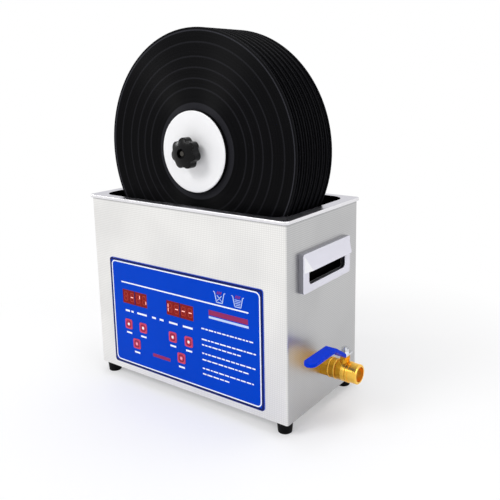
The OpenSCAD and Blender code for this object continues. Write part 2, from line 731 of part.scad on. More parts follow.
// Pressed carry handle: a shallow plate with turned edges and a hood over the slot.
// Drawn for the right wall, with x running out from it.
slot_r = 5;
slot_low = 9;
slot_full_h = handle_h - slot_low - 5;
slot_mid_z = handle_z + slot_low + slot_full_h / 2;
hood_low = slot_low + slot_h;
hood_top = handle_h - 2;
hood_side = 2.6;
lip_over = 3;
lip_rise = 3.5;
module hood(inset, drop) hull() {
    hood_w = handle_w - 2 * hood_side;
    lip_w = slot_w + 2 * lip_over;
    translate([-0.1, -hood_w / 2 + inset, hood_low - drop])
        cube([0.1, hood_w - 2 * inset, hood_top - hood_low + drop - 1.6 * inset]);
    translate([hood_out - inset - 0.1, -lip_w / 2 + inset, hood_low + lip_rise - drop])
        cube([0.1, lip_w - 2 * inset, drop + 0.1]);
}
module carry_handle() translate([side_x, handle_y, handle_z]) difference() {
    union() {
        difference() {
            translate([0, 0, handle_h / 2]) plate_x(handle_w, handle_h, handle_t, 3);
            translate([-1, 0, handle_h / 2]) plate_x(handle_w - 2 * handle_sheet, handle_h - 2 * handle_sheet,
                handle_t - handle_sheet + 1, 3 - handle_sheet);
            translate([0, 0, slot_low + slot_full_h / 2]) plate_x(slot_w, slot_full_h, handle_t + 1, slot_r);
        }
        translate([handle_t, 0, 0]) difference() {
            hood(0, 0);
            hood(handle_sheet, 12);
        }
    }
    translate([handle_t - handle_sheet - 0.1, 0, slot_low + slot_full_h / 2])
        plate_x(slot_w, slot_full_h, handle_sheet + 0.1, slot_r);
}
module right_carry_handle() in_frame() color("lavender") carry_handle();
module left_carry_handle() in_frame() color("lavender") mirror([1, 0, 0]) carry_handle();

// Plastic finger pockets behind the slots, up to the tank's end walls
cup_wall = 1.2;
cup_depth = side_x - sheet_t - tank_w / 2 - tank_t - 0.4;
module handle_cups() in_frame() color(dark_plastic) for (s = [0, 1]) mirror([s, 0, 0])
    translate([side_x - sheet_t - cup_depth, handle_y, slot_mid_z]) difference() {
        plate_x(slot_w + 8, slot_full_h + 8, cup_depth, slot_r + 3);
        translate([cup_wall, 0, 0]) plate_x(slot_w, slot_full_h, cup_depth, slot_r);
    }

// Mains inlet with three pins, on the back wall
inlet_w = 27.4;
inlet_h = 20;
inlet_depth = 24;
module mains_inlet() in_frame() color(dark_plastic) translate([inlet_x, back_y, rear_z]) {
    difference() {
        union() {
            plate_y(50, 24, 2.5, 8);
            translate([0, -inlet_depth, 0]) plate_y(inlet_w, inlet_h, inlet_depth + 1, 3);
        }
        translate([0, 2.5 - 16, 0]) rotate([90, 0, 0]) translate([0, 0, -17]) linear_extrude(17)
            polygon([[-12, -8], [12, -8], [12, 4.5], [8.5, 8], [-8.5, 8], [-12, 4.5]]);
        for (s = [-1, 1]) translate([20 * s, -1, 0]) rod_y(1.7, 5);
    }
    for (p = [[-7, -0.6], [7, -0.6], [0, 3.4]]) translate([p[0] - 1, -15, p[1] - 2]) cube([2, 13, 4]);
}

// Rocker switch beside it
switch_w = 28;
switch_h = 21.5;
rocker_w = 23;
rocker_h = 17;
rocker_tilt = 8;
rocker_gap = 0.35;
module switch_frame() in_frame() color(dark_plastic) translate([switch_x, back_y, rear_z]) difference() {
    union() {
        plate_y(31.5, 25, 2, 1.5);
        translate([0, -20, 0]) plate_y(switch_w, switch_h, 21, 1);
    }
    translate([0, -12, 0]) plate_y(rocker_w + 2 * rocker_gap, rocker_h + 2.4, 15, 0.5);
    translate([-rocker_w / 2 - 2.2, rocker_axis_y, 0]) rod_x(1.2, rocker_w + 4.4);
}
rocker_axis_y = -3;
module rocker() in_frame() color("black") translate([switch_x, back_y + rocker_axis_y, rear_z])
    rotate([-rocker_tilt, 0, 0]) {
        rotate([90, 0, 90]) linear_extrude(rocker_w, center = true)
            polygon([[-6, -3.5], [3.2, -rocker_h / 2], [5.4, -rocker_h / 2], [4.6, 0], [5.4, rocker_h / 2],
                [3.2, rocker_h / 2], [-6, 3.5]]);
        translate([-rocker_w / 2 - 2, 0, 0]) rod_x(1.15, rocker_w + 4);
    }

// Cooling fan inside the back wall, with a wire guard outside
fan_bore_r = 27.5;
hub_r = 10.5;
fan_hole = 25;
module fan_frame() in_frame() color(dark_plastic) translate([fan_x, back_y - sheet_t, rear_z])
    rotate([90, 0, 0]) {
        linear_extrude(fan_d) difference() {
            round_rect(fan_w, fan_w, 4);
            circle(r = fan_bore_r + 0.8);
            for (sx = [-1, 1], sz = [-1, 1]) translate([sx * fan_hole, sz * fan_hole]) circle(r = 2.1);
        }
        translate([0, 0, fan_d - 2.5]) linear_extrude(2.4) difference() {
            union() {
                circle(r = hub_r);
                for (a = [30, 150, 270]) rotate(a) translate([0, -1.5]) square([fan_bore_r + 1.5, 3]);
            }
            circle(r = 1.5 + run_gap);
        }
    }
blade_count = 7;
module fan_rotor() in_frame() color(dark_plastic) translate([fan_x, back_y - sheet_t - fan_d, rear_z]) {
    translate([0, 0.4, 0]) rod_y(1.5, 4);
    translate([0, 3, 0]) rod_y(hub_r, fan_d - 5);
    intersection() {
        translate([0, 3, 0]) rod_y(fan_bore_r - 0.2, fan_d - 5);
        for (i = [0 : blade_count - 1]) rotate([0, i * 360 / blade_count, 0])
            translate([hub_r - 1, fan_d / 2 + 0.5, 0]) rotate([50, 0, 0]) translate([0, -7, -0.7])
                cube([fan_bore_r, 14, 1.4]);
    }
}
module fan_guard() in_frame() color("silver") translate([fan_x, back_y, rear_z]) {
    wire_r = 0.9;
    lift = 2.1;
    for (r = [8, 15, 22]) translate([0, lift, 0]) rotate([90, 0, 0]) rotate_extrude() translate([r, 0])
        circle(r = wire_r, $fn = 16);
    for (a = [45, 135]) rotate([0, a, 0]) difference() {
        translate([-fan_hole * sqrt(2) - 3, 0.5, -1]) cube([2 * fan_hole * sqrt(2) + 6, 1.1, 2]);
        for (s = [-1, 1]) translate([s * fan_hole * sqrt(2), -1, 0]) rod_y(0.6, 4);
    }
    for (sx = [-1, 1], sz = [-1, 1]) translate([sx * fan_hole, 0, sz * fan_hole]) rod_y(3.6, 1.6);
}

// Hanger that hooks over the tank's back rim and carries the rack on an upright plate
leg_depth = 55;
hook_drop = 30;
hook_w = upright_w + 12;
upright_over = 62;
upright_top = spindle_z + upright_over;
gusset_l = 11;
gusset_h = 20;
slot_bush_w = 16;
module hanger_bracket() in_frame() color(steel) translate([rack_x, upright_y, 0]) difference() {
    union() {
        translate([0, 0, (rim_z - leg_depth + upright_top) / 2])
            plate_y(upright_w, upright_top - rim_z + leg_depth, rack_sheet, 5);
        hook_l = rim_d / 2 + leg_gap + rack_sheet - upright_y;
        translate([-hook_w / 2, 0, rim_z]) cube([hook_w, hook_l, rack_sheet]);
        translate([-hook_w / 2, hook_l - rack_sheet, rim_z - hook_drop + 1]) cube([hook_w, rack_sheet,
            hook_drop + rack_sheet - 1]);
        translate([-hook_w / 2, 0, rim_z]) cube([hook_w, rack_sheet, 8]);
        for (s = [-1, 1]) translate([s * (upright_w / 2 - 6) - 1, rack_sheet, rim_z + rack_sheet])
            rotate([90, 0, 90]) linear_extrude(2) polygon([[-0.5, -0.5], [gusset_l, -0.5], [-0.5, gusset_h]]);
    }
    translate([0, -1, spindle_z + height_travel / 2])
        plate_y(slot_bush_w, height_travel + slot_bush_w, rack_sheet + 2, slot_bush_w / 2 - 0.01);
    for (s = [-1, 1])
        translate([s * (upright_w / 2 - leg_hole_inset), -1, rim_z - leg_depth + leg_hole_inset])
            rod_y(leg_hole_r, rack_sheet + 2);
}
leg_hole_inset = 12;
leg_hole_r = 3;

// Motor plate: a channel that slides up and down the upright
channel_h = 76;
channel_wall = 2;
channel_in = upright_w / 2 + 0.4;
lip_w = 7;
module motor_plate() in_frame() color(steel) translate([rack_x, 0, spindle_z]) difference() {
    union() {
        translate([0, motor_plate_y, 0]) plate_y(2 * channel_in + 2 * channel_wall, channel_h, rack_sheet, 1);
        for (s = [0, 1]) mirror([s, 0, 0]) {
            translate([channel_in, upright_y - slip_gap - rack_sheet, -channel_h / 2])
                cube([channel_wall, plate_back_y - upright_y + slip_gap + rack_sheet, channel_h]);
            translate([channel_in - lip_w, upright_y - slip_gap - rack_sheet, -channel_h / 2])
                cube([lip_w + 0.5, rack_sheet, channel_h]);
        }
        translate([-channel_in - channel_wall - 5, upright_y + rack_sheet / 2, knob_drop]) rod_x(5, 6);
    }
    translate([0, motor_plate_y - 1, 0]) rod_y(bush_r, rack_sheet + 2);
    translate([-channel_in - channel_wall - 6, upright_y + rack_sheet / 2, knob_drop]) rod_x(3 + run_gap, 12);
    for (s = [-1, 1]) translate([s * motor_screw_x, motor_plate_y - 1, -motor_screw_x])
        rod_y(1.6, rack_sheet + 2);
}
motor_screw_x = 14;
knob_drop = -28;
bush_r = 7;

// Bush that carries the spindle
bush_reach = 6;
module spindle_bush() in_frame() color("peru")
    translate([rack_x, upright_y - bush_reach, spindle_z]) difference() {
        rod_y(bush_r, plate_back_y - upright_y + bush_reach);
        translate([0, -1, 0]) rod_y(journal_r + run_gap, plate_back_y - upright_y + bush_reach + 2);
    }

// Geared motor behind the plate, its cover and the socket of its supply
gearbox_r = 18.5;
can_r = 16;
shaft_r = 3;
shaft_l = 12;
module gear_motor() in_frame() color("silver") translate([rack_x, plate_back_y, spindle_z]) difference() {
    union() {
        rod_y(gearbox_r, gearbox_l);
        translate([0, gearbox_l, 0]) rod_y(can_r, motor_l - gearbox_l);
        translate([0, gearbox_l - 1.5, 0]) rod_y(gearbox_r + 0.8, 1.5);
    }
    translate([0, -1, 0]) rod_y(shaft_r + run_gap, shaft_l + 2);
    for (s = [-1, 1]) translate([s * 12, -1, 0]) rod_y(1.4, 6);
}
cover_w = 60;
jack_x = 20;
jack_z = -20;
jack_r = 5;
cover_slot_l = 16;
cover_slot_pitch = 6;
module motor_cover() in_frame() color(dark_plastic)
    translate([rack_x, plate_back_y, spindle_z]) difference() {
        plate_y(cover_w, cover_w, motor_cover_d, 5);
        translate([0, -1, 0]) plate_y(cover_w - 2 * cover_wall, cover_w - 2 * cover_wall,
            motor_cover_d - cover_wall + 1, 3);
        translate([jack_x, 0, jack_z]) rod_y(jack_r + run_gap, motor_cover_d + 1);
        for (i = [-2 : 2]) translate([i * cover_slot_pitch, motor_cover_d - cover_wall - 1, cover_w / 5])
            plate_y(2.4, cover_slot_l, cover_wall + 2, 1.1);
    }
module dc_jack() in_frame() color("black")
    translate([rack_x + jack_x, plate_back_y + motor_cover_d, spindle_z + jack_z]) difference() {
        union() {
            translate([0, -12, 0]) rod_y(jack_r, 13);
            rod_y(jack_r + 2, jack_out);
        }
        difference() {
            translate([0, -9, 0]) rod_y(2.75, 12);
            translate([0, -10, 0]) rod_y(1.05, 11);
        }
    }

// Knurled knob that locks the rack's height
height_knob_r = 9;
module height_knob() in_frame() color(dark_plastic)
    translate([rack_x - channel_in - channel_wall - 5, upright_y + rack_sheet / 2, spindle_z + knob_drop])
        mirror([1, 0, 0]) {
            translate([-channel_wall - 4.9, 0, 0]) rod_x(3, channel_wall + 8);
            translate([0.5, 0, 0]) rod_x(5.5, 4);
            translate([3.5, 0, 0]) difference() {
                rod_x(height_knob_r, 9);
                for (i = [0 : 17]) rotate([20 * i, 0, 0]) translate([-1, 0, height_knob_r + 0.4])
                    rod_x(1.1, 11);
            }
        }

// Spindle: drive end, journal, rod with a collar, and a threaded front end
front_thread_y = knob_front_y + 3;
module spindle() in_frame() color("silver") translate([rack_x, 0, spindle_z]) {
    rod_y_from(front_thread_y, front_cover_y, thread_r);
    rod_y_from(front_cover_y - 0.01, collar_y + 1, rod_r);
    rod_y_from(collar_y, collar_y + collar_t, 11);
    rod_y_from(collar_y + collar_t - 0.01, upright_y - bush_reach - slip_gap, journal_r + 1.5);
    rod_y_from(upright_y - bush_reach - 1, plate_back_y - 0.3, journal_r);
    rod_y_from(plate_back_y - 1, plate_back_y + shaft_l, shaft_r);
}
module rod_y_from(y0, y1, r) translate([0, y0, 0]) rod_y(r, y1 - y0);

// Label covers and spacers: they clamp the records and keep the labels dry
module disc_y(y) translate([rack_x, y, spindle_z]) rotate([90, 0, 0]) rotate_extrude() children();
cover_edge = 2;
module cover_section() difference() {
    union() {
        square([cover_r - cover_edge, cover_t]);
        square([cover_r, cover_t - cover_edge]);
        translate([cover_r - cover_edge, cover_t - cover_edge]) circle(r = cover_edge);
    }
    translate([0, -1]) square([rod_r + 0.15, cover_t + 2]);
    translate([14, -1]) square([cover_r - 14 - 7, 1.8]);
}
module front_label_cover() in_frame() color("white") disc_y(record_1_y - record_t / 2) cover_section();
module rear_label_cover() in_frame() color("white") mirror_y(rear_cover_y) cover_section();
module mirror_y(y) translate([rack_x, y, spindle_z]) rotate([-90, 0, 0]) rotate_extrude() children();

spacer_t = record_pitch - record_t;
module label_spacers() in_frame() color("white") for (i = [0 : record_count - 2])
    mirror_y(record_1_y + i * record_pitch + record_t / 2) {
        translate([rod_r + 0.15, 0]) square([8, spacer_t]);
        translate([rod_r + 0.15, spacer_t / 2 - 1.5]) square([cover_r - rod_r - 1, 3]);
        translate([cover_r - 6, 0]) square([6, spacer_t]);
    }

// A record: thick label and bead, thinner between them
groove_t = 1.5;
bead_w = 4;
module record(index) in_frame() color("#18181a")
    disc_y(record_1_y + (index - 1) * record_pitch) difference() {
        union() {
            translate([0, -groove_t / 2]) square([record_r - bead_w / 2, groove_t]);
            translate([0, -record_t / 2]) square([cover_r + 0.6, record_t]);
            translate([record_r - bead_w, -record_t / 2]) square([bead_w - record_t / 2, record_t]);
            translate([record_r - record_t / 2, 0]) circle(r = record_t / 2, $fn = 24);
        }
        translate([-1, -2]) square([record_hole_r + 1, 4]);
    }
record_hole_r = 3.63;

// Moulded star knob with round lobes, a crowned front and a hub
lobe_r = 6.2;
scoop_r = 4;
knob_hub_r = 11;
knob_socket_r = 6;
knob_socket_d = 5;
crown_r = 44;
lobe_out = knob_r - lobe_r;
lobe_step = 180 / lobes;
scoop_out = lobe_out * cos(lobe_step) + sqrt(pow(lobe_r + scoop_r, 2) - pow(lobe_out * sin(lobe_step), 2));
module star_knob() in_frame() color("#1a1a1c") translate([rack_x, knob_back_y, spindle_z])
    rotate([90, 0, 0]) difference() {
        union() {
            cylinder(r = knob_hub_r, h = knob_hub_l + 1);
            translate([0, 0, knob_hub_l]) intersection() {
                linear_extrude(knob_body_t) star_outline();
                translate([0, 0, knob_body_t - crown_r]) sphere(r = crown_r);
            }
        }
        translate([0, 0, -1]) cylinder(r = thread_r + run_gap, h = knob_hub_l + knob_body_t + 2);
        translate([0, 0, knob_hub_l + knob_body_t - knob_socket_d])
            cylinder(r = knob_socket_r, h = knob_socket_d + 1);
    }

// Lobes joined by scoops that all but touch them; the core fills up to where they meet
module star_outline() {
    share = lobe_r / (lobe_r + scoop_r);
    touch = [lobe_out * cos(lobe_step) * (1 - share) + scoop_out * share,
        lobe_out * sin(lobe_step) * (1 - share)];
    difference() {
        circle(r = norm(touch));
        for (i = [0 : lobes - 1]) rotate((2 * i + 1) * lobe_step + lobe_turn)
            translate([scoop_out - scoop_bite, 0]) circle(r = scoop_r);
    }
    for (i = [0 : lobes - 1]) rotate(2 * i * lobe_step + lobe_turn) translate([lobe_out, 0])
        circle(r = lobe_r);
}
lobe_turn = 90;
scoop_bite = 0.12;

housing();
tank();
base_plate();
rubber_feet();
foot_screws();
control_panel();
temperature_display();
timer_display();
control_board();
transducer_front_masses();
piezo_rings();
transducer_back_masses();
heating_pads();
generator_board();
heat_sink();
drain_fitting();
drain_elbow();
valve_body();
valve_seats();
outlet_nipple();
right_carry_handle();
left_carry_handle();
handle_cups();
mains_inlet();
switch_frame();
fan_frame();
fan_guard();
key(0);  // key_temp_up
key(1);  // key_temp_down
key(2);  // key_heat
key(3);  // key_time_up
key(4);  // key_time_down
key(5);  // key_run
rocker();
fan_rotor();
valve_ball();
valve_stem();
valve_lever();
lever_sleeve();
lever_nut();
hanger_bracket();
motor_plate();
spindle_bush();
gear_motor();
motor_cover();
dc_jack();
height_knob();
spindle();
rear_label_cover();
front_label_cover();
label_spacers();
record(1);  // record_1
record(2);  // record_2
record(3);  // record_3
record(4);  // record_4
record(5);  // record_5
record(6);  // record_6
record(7);  // record_7
record(8);  // record_8
star_knob();
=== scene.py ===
# %% [markdown]
# # A record cleaning machine
# A heated steel bath shakes its liquid with ultrasound while a small motor turns a stack of
# records in it. The solid model arrives as a frame of named nodes; this script dresses it. It
# sets the camera first, then the studio, then one finish after another, and last the pieces
# that a mesh shows better than a solid: grooved discs, printed ink, digits and a moulded knob.
# %% The frame
import json
import math
import random
import bmesh
import bpy
from mathutils import Matrix, Vector


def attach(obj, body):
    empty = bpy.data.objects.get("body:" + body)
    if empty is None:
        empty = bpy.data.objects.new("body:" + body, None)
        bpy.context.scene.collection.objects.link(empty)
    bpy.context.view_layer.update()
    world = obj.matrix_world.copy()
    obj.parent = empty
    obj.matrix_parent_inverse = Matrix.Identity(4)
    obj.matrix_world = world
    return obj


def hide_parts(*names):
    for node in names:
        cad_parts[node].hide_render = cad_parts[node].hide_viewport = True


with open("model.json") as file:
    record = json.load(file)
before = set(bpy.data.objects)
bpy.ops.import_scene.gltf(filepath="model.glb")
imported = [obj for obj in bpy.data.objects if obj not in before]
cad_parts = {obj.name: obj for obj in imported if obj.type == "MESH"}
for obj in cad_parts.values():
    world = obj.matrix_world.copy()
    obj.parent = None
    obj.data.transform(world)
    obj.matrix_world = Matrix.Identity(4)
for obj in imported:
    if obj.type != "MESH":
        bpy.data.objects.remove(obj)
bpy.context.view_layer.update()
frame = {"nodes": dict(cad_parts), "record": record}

nodes = frame["nodes"]
MM = 0.001

# %% [markdown]
# ## Where things are
# The tank's middle is a handy origin for measuring, but the part's own origin lies under the
# middle of its whole box. One small function turns tank millimetres into scene metres, so
# every number below can be read off the object with a ruler.
# %% Places
OFFSET_X = -18.25
OFFSET_Y = -23.15


def at(x, y, z):
    """Tank-centred millimetres to scene metres."""
    return Vector(((x + OFFSET_X) * MM, (y + OFFSET_Y) * MM, z * MM))


print("tank middle at", tuple(round(c, 5) for c in at(0, 0, 0)))

# %% [markdown]
# ## Camera
# The place, aim and focal length were worked out from points and edges of the object. The
# picture's optical centre isn't its middle, which a lens shift reproduces without tilting
# the camera.
# %% Camera
CAMERA_MM = (526.73, -676.925, 420.26)
VIEW_AXIS = Vector((-0.57095585, 0.79838834, -0.19127329))
RIGHT_AXIS = Vector((0.81493214, 0.57938212, -0.01421182))
FOCAL_PIXELS = 640.244
OPTICAL_X, OPTICAL_Y = 267.570, 199.904
FRAME_PIXELS = 500
SENSOR = 36.0
camera_data = bpy.data.cameras.new("camera")
camera_data.sensor_fit = "HORIZONTAL"
camera_data.sensor_width = SENSOR
camera_data.lens = FOCAL_PIXELS * SENSOR / FRAME_PIXELS
camera_data.shift_x = (FRAME_PIXELS / 2 - OPTICAL_X) / FRAME_PIXELS
camera_data.shift_y = (OPTICAL_Y - FRAME_PIXELS / 2) / FRAME_PIXELS
camera_data.clip_start = 0.01
camera = bpy.data.objects.new("camera", camera_data)
turn = Matrix((RIGHT_AXIS, RIGHT_AXIS.cross(VIEW_AXIS), -VIEW_AXIS)).transposed().to_4x4()
camera.matrix_world = Matrix.Translation(Vector(CAMERA_MM) * MM) @ turn
bpy.context.scene.collection.objects.link(camera)
bpy.context.scene.camera = camera
bpy.context.scene.view_settings.view_transform = "Standard"
print("camera at", tuple(round(c, 3) for c in camera.matrix_world.translation))

# %% [markdown]
# ## Helpers for finishes
# A material here is a small graph of nodes. One function turns a hex colour, as a paint chart
# gives it, into the linear numbers that light is computed with. Another adds a node, sets it up
# and wires it, so a graph reads from top to bottom like a recipe.
# %% Colour and nodes


def linear(code):
    """An sRGB hex code as a linear colour."""
    parts = [int(code[i:i + 2], 16) / 255 for i in (0, 2, 4)]
    return tuple(c / 12.92 if c <= 0.04045 else ((c + 0.055) / 1.055) ** 2.4 for c in parts) + (1.0,)


def open_output(node):
    """The first output that the node's settings leave in use."""
    return next(socket for socket in node.outputs if socket.enabled)


def add_node(tree, kind, inputs=None, **settings):
    """Adds a shader node with its settings. An input gets a value, or a link from a socket or node."""
    made = tree.nodes.new("ShaderNode" + kind)
    for name, value in settings.items():
        setattr(made, name, value)
    for key, value in (inputs or {}).items():
        socket = made.inputs[key] if isinstance(key, int) else next(
            s for s in made.inputs if s.enabled and s.name == key)
        if isinstance(value, bpy.types.Node):
            value = open_output(value)
        if isinstance(value, bpy.types.NodeSocket):
            tree.links.new(value, socket)
        else:
            socket.default_value = value
    return made


def fresh_tree(owner):
    """An empty node tree on a new material or world."""
    owner.use_nodes = True
    owner.node_tree.nodes.clear()
    return owner.node_tree


def per_metre(size_mm):
    """Texture scale that gives features of this size in millimetres."""
    return 1.0 / (size_mm * MM)


print("mid grey 808080 is", round(linear("808080")[0], 3), "in light")

# %% [markdown]
# Most finishes share one build: a principled shader whose colour and roughness drift a little,
# as real surfaces do, and a fine bump of a stated depth and grain. The stretch draws the
# grain out along one direction, which is what brushing and rolling do to metal. The other helpers
# tint the places that look different, by their distance from an axis or by where a face points.
# %% One recipe for plain finishes
# Two noises add up to about one, and most of their sum lies between these
DRIFT_LOW, DRIFT_HIGH = 0.7, 1.3


def finish(name, colour, roughness, metallic=0.0, grain_mm=1.0, depth_mm=0.01, drift=0.05,
           rough_drift=0.03, stretch=(1, 1, 1), patch_mm=60.0, specular=0.5, **sockets):
    """A material with drifting colour and roughness, and grain. Sizes are in millimetres."""
    material = bpy.data.materials.new(name)
    tree = fresh_tree(material)
    place = add_node(tree, "TexCoord").outputs["Object"]
    drawn = add_node(tree, "Mapping", {"Vector": place, "Scale": stretch})
    grain = add_node(tree, "TexNoise", {
        "Vector": drawn, "Scale": per_metre(grain_mm), "Detail": 3.0})
    patches = add_node(tree, "TexNoise", {
        "Vector": place, "Scale": per_metre(patch_mm), "Detail": 2.0})
    blend = add_node(tree, "Math", {0: grain, 1: patches}, operation="ADD")
    base = linear(colour)[:3]
    darker = tuple(c * (1 - drift) for c in base) + (1.0,)
    lighter = tuple(min(1.0, c * (1 + drift)) for c in base) + (1.0,)
    tint = add_node(tree, "MapRange", {
        "Value": blend, "From Min": DRIFT_LOW, "From Max": DRIFT_HIGH})
    tone = add_node(tree, "Mix", {"Factor": tint, "A": darker, "B": lighter}, data_type="RGBA")
    rough = add_node(tree, "MapRange", {
        "Value": blend, "From Min": DRIFT_LOW, "From Max": DRIFT_HIGH,
        "To Min": max(0.02, roughness - rough_drift), "To Max": min(1.0, roughness + rough_drift)})
    bump = add_node(tree, "Bump", {"Height": grain, "Distance": depth_mm * MM})
    shader = add_node(tree, "BsdfPrincipled", {
        "Base Color": tone, "Roughness": rough, "Normal": bump, "Metallic": metallic,
        "Specular IOR Level": specular, **sockets})
    add_node(tree, "OutputMaterial", {"Surface": shader})
    return material


def find(tree, kind):
    """The first node of a kind in a tree."""
    return next(n for n in tree.nodes if n.bl_idname == "ShaderNode" + kind)


def tint_where(material, mask, colour):
    """Mixes a hex colour into a material's own colour where a mask is 1."""
    tree = material.node_tree
    base = find(tree, "BsdfPrincipled").inputs["Base Color"]
    mixed = add_node(tree, "Mix", {
        "Factor": mask, "A": base.links[0].from_socket, "B": linear(colour)}, data_type="RGBA")
    tree.links.new(open_output(mixed), base)


def distance_from(tree, middle, off_axis=(1, 1, 1)):
    """Distance from a point, or from an axis through it where off_axis is 0 along that axis."""
    place = add_node(tree, "TexCoord").outputs["Object"]
    away = add_node(tree, "VectorMath", {0: place, 1: middle}, operation="SUBTRACT")
    away = add_node(tree, "VectorMath", {0: away, 1: off_axis}, operation="MULTIPLY")
    return add_node(tree, "VectorMath", {0: away}, operation="LENGTH")


def facing_axis(tree, axis, start, end):
    """A mask from 0 to 1 by how far a surface faces along an axis, either way."""
    normal = add_node(tree, "NewGeometry").outputs["Normal"]
    parts = add_node(tree, "SeparateXYZ", {0: normal})
    amount = add_node(tree, "Math", {0: parts.outputs[axis]}, operation="ABSOLUTE")
    return add_node(tree, "MapRange", {"Value": amount, "From Min": start, "From Max": end})


print("recipe ready: a grain of 1 mm has scale", per_metre(1.0))

# %% [markdown]
# ## Studio
# Metal shows whatever surrounds it. So the world is white to the eye and to reflections, and it
# lights the object more dimly than that. A test on the kind of ray tells the two apart.
# %% World
WORLD_LIGHT = 0.42


def ray_is(tree, *kinds):
    """1 for a ray of any of these kinds and 0 for all others."""
    ray = add_node(tree, "LightPath")
    found = ray.outputs[kinds[0]]
    for kind in kinds[1:]:
        found = add_node(tree, "Math", {0: found, 1: ray.outputs[kind]}, operation="MAXIMUM")
    return found


world = bpy.data.worlds.new("studio")
bpy.context.scene.world = world
sky = fresh_tree(world)
seen = ray_is(sky, "Is Camera Ray", "Is Glossy Ray", "Is Transmission Ray")
strength = add_node(sky, "MapRange", {"Value": seen, "To Min": WORLD_LIGHT, "To Max": 1.0})
glow = add_node(sky, "Background", {"Color": (1, 1, 1, 1), "Strength": strength})
add_node(sky, "OutputWorld", {"Surface": glow})
print("world lights the object at", WORLD_LIGHT)

# %% [markdown]
# Four soft lamps do the rest: a key lamp over the front left, a small one far out on the left
# whose glint shows on dark pieces, a fill on the right and a broad one overhead.
# %% Lamps
# Place and target in metres, width in metres, power in watts
LAMPS = {"key lamp": ((-0.8, -1.85, 1.75), (0, 0, 0.2), 0.9, 25),
         "side lamp": ((-2.1, -1.15, 0.95), (0, 0, 0.3), 0.32, 7),
         "fill lamp": ((1.7, -0.5, 1.1), (0, 0, 0.2), 1.2, 8),
         "top lamp": ((0.1, 0.5, 2.0), (0, 0, 0.2), 1.6, 16)}
for name, (place, target, size, power) in LAMPS.items():
    data = bpy.data.lights.new(name, "AREA")
    data.size = size
    data.energy = power
    lamp = bpy.data.objects.new(name, data)
    bpy.context.scene.collection.objects.link(lamp)
    aim = (Vector(target) - Vector(place)).to_track_quat("-Z", "Y")
    lamp.matrix_world = Matrix.Translation(place) @ aim.to_matrix().to_4x4()
print("lamps", len(LAMPS))

# %% [markdown]
# The floor is a sheet of pale paper. It fades into the white backdrop with distance, which
# leaves only the soft shadow to see.
# %% Floor
FLOOR_HALF = 4.0
# The paper glows a little even under the object, which keeps its shadow pale. Metres from the
# middle, and the share of the glow there
FADE_START, FADE_END, GLOW_UNDER = 0.16, 0.55, 0.3
floor_mesh = bpy.data.meshes.new("floor")
floor_mesh.from_pydata([(-FLOOR_HALF, -FLOOR_HALF, 0), (FLOOR_HALF, -FLOOR_HALF, 0),
                        (FLOOR_HALF, FLOOR_HALF, 0), (-FLOOR_HALF, FLOOR_HALF, 0)], [], [(0, 1, 2, 3)])
floor = bpy.data.objects.new("floor", floor_mesh)
bpy.context.scene.collection.objects.link(floor)
paper = bpy.data.materials.new("pale studio paper")
tree = fresh_tree(paper)
fade = add_node(tree, "MapRange", {
    "Value": distance_from(tree, (0, 0, 0)), "From Min": FADE_START, "From Max": FADE_END,
    "To Min": GLOW_UNDER})
shown = ray_is(tree, "Is Camera Ray", "Is Glossy Ray")
share = add_node(tree, "Math", {0: fade, 1: shown}, operation="MULTIPLY")
matte = add_node(tree, "BsdfDiffuse", {"Color": linear("FAFAFC")})
white = add_node(tree, "Emission", {"Color": (1, 1, 1, 1), "Strength": 1.0})
sheet = add_node(tree, "MixShader", {0: share, 1: matte, 2: white})
add_node(tree, "OutputMaterial", {"Surface": sheet})
floor_mesh.materials.append(paper)
print("floor", FLOOR_HALF * 2, "m wide")

# %% [markdown]
# ## Embossed stainless steel
# The housing is one folded stainless sheet, rolled with a linen pattern before it was bent: small
# raised squares that hide fingerprints. The walls that face the front are painted nearly white as
# painted light, and the side walls are painted grey as painted shade. A wave along each of the
# wall's two directions gives the squares, and the way a face points decides which two.
# %% Housing steel
# The real squares are under a millimetre wide, too fine to show here, so they are drawn coarser
LINEN_PITCH_MM, LINEN_DEPTH_MM, LINEN_STRENGTH = 2.5, 0.03, 0.35
# A band wave with a scale of 1 repeats every tau / 20 of a metre
wave_scale = per_metre(LINEN_PITCH_MM) * math.tau / 20
CLOUD_MM = 90
# How far a wall faces the front before it takes the painted lit tone of the front, and when it has all of
# it
LIT_FRONT_START, LIT_FRONT_FULL = -0.3, -0.95
steel = bpy.data.materials.new("linen embossed stainless steel")
tree = fresh_tree(steel)
place = add_node(tree, "TexCoord").outputs["Object"]
normal = add_node(tree, "NewGeometry").outputs["Normal"]
facing = add_node(tree, "SeparateXYZ", {0: normal})
sideways = add_node(tree, "Math", {0: facing.outputs["X"]}, operation="ABSOLUTE")
painted_light_share = add_node(tree, "MapRange", {
    "Value": facing.outputs["Y"], "From Min": LIT_FRONT_START, "From Max": LIT_FRONT_FULL})
waves = {axis: add_node(tree, "TexWave", {"Vector": place, "Scale": wave_scale},
                        wave_type="BANDS", bands_direction=axis).outputs["Fac"] for axis in "XYZ"}
level_wave = add_node(tree, "Mix", {
    "Factor": sideways, "A": waves["X"], "B": waves["Y"]}, data_type="FLOAT")
squares = add_node(tree, "Math", {0: level_wave, 1: waves["Z"]}, operation="MINIMUM")
clouds = add_node(tree, "TexNoise", {
    "Vector": place, "Scale": per_metre(CLOUD_MM), "Detail": 2.0})
# Painted light and shade: the front walls get a whiter copy of the steel, the side walls a greyer one
painted_lit_front_tone, painted_shade_side_tone = (
    add_node(tree, "Mix", {
        "Factor": squares, "A": linear(between), "B": linear(raised)}, data_type="RGBA")
    for between, raised in (("E4E3E1", "FCFBF9"), ("B4B4B5", "D2D2D2")))
tone = add_node(tree, "Mix", {
    "Factor": painted_light_share, "A": painted_shade_side_tone, "B": painted_lit_front_tone}, data_type="RGBA")
bump = add_node(tree, "Bump", {
    "Height": squares, "Distance": LINEN_DEPTH_MM * MM, "Strength": LINEN_STRENGTH})
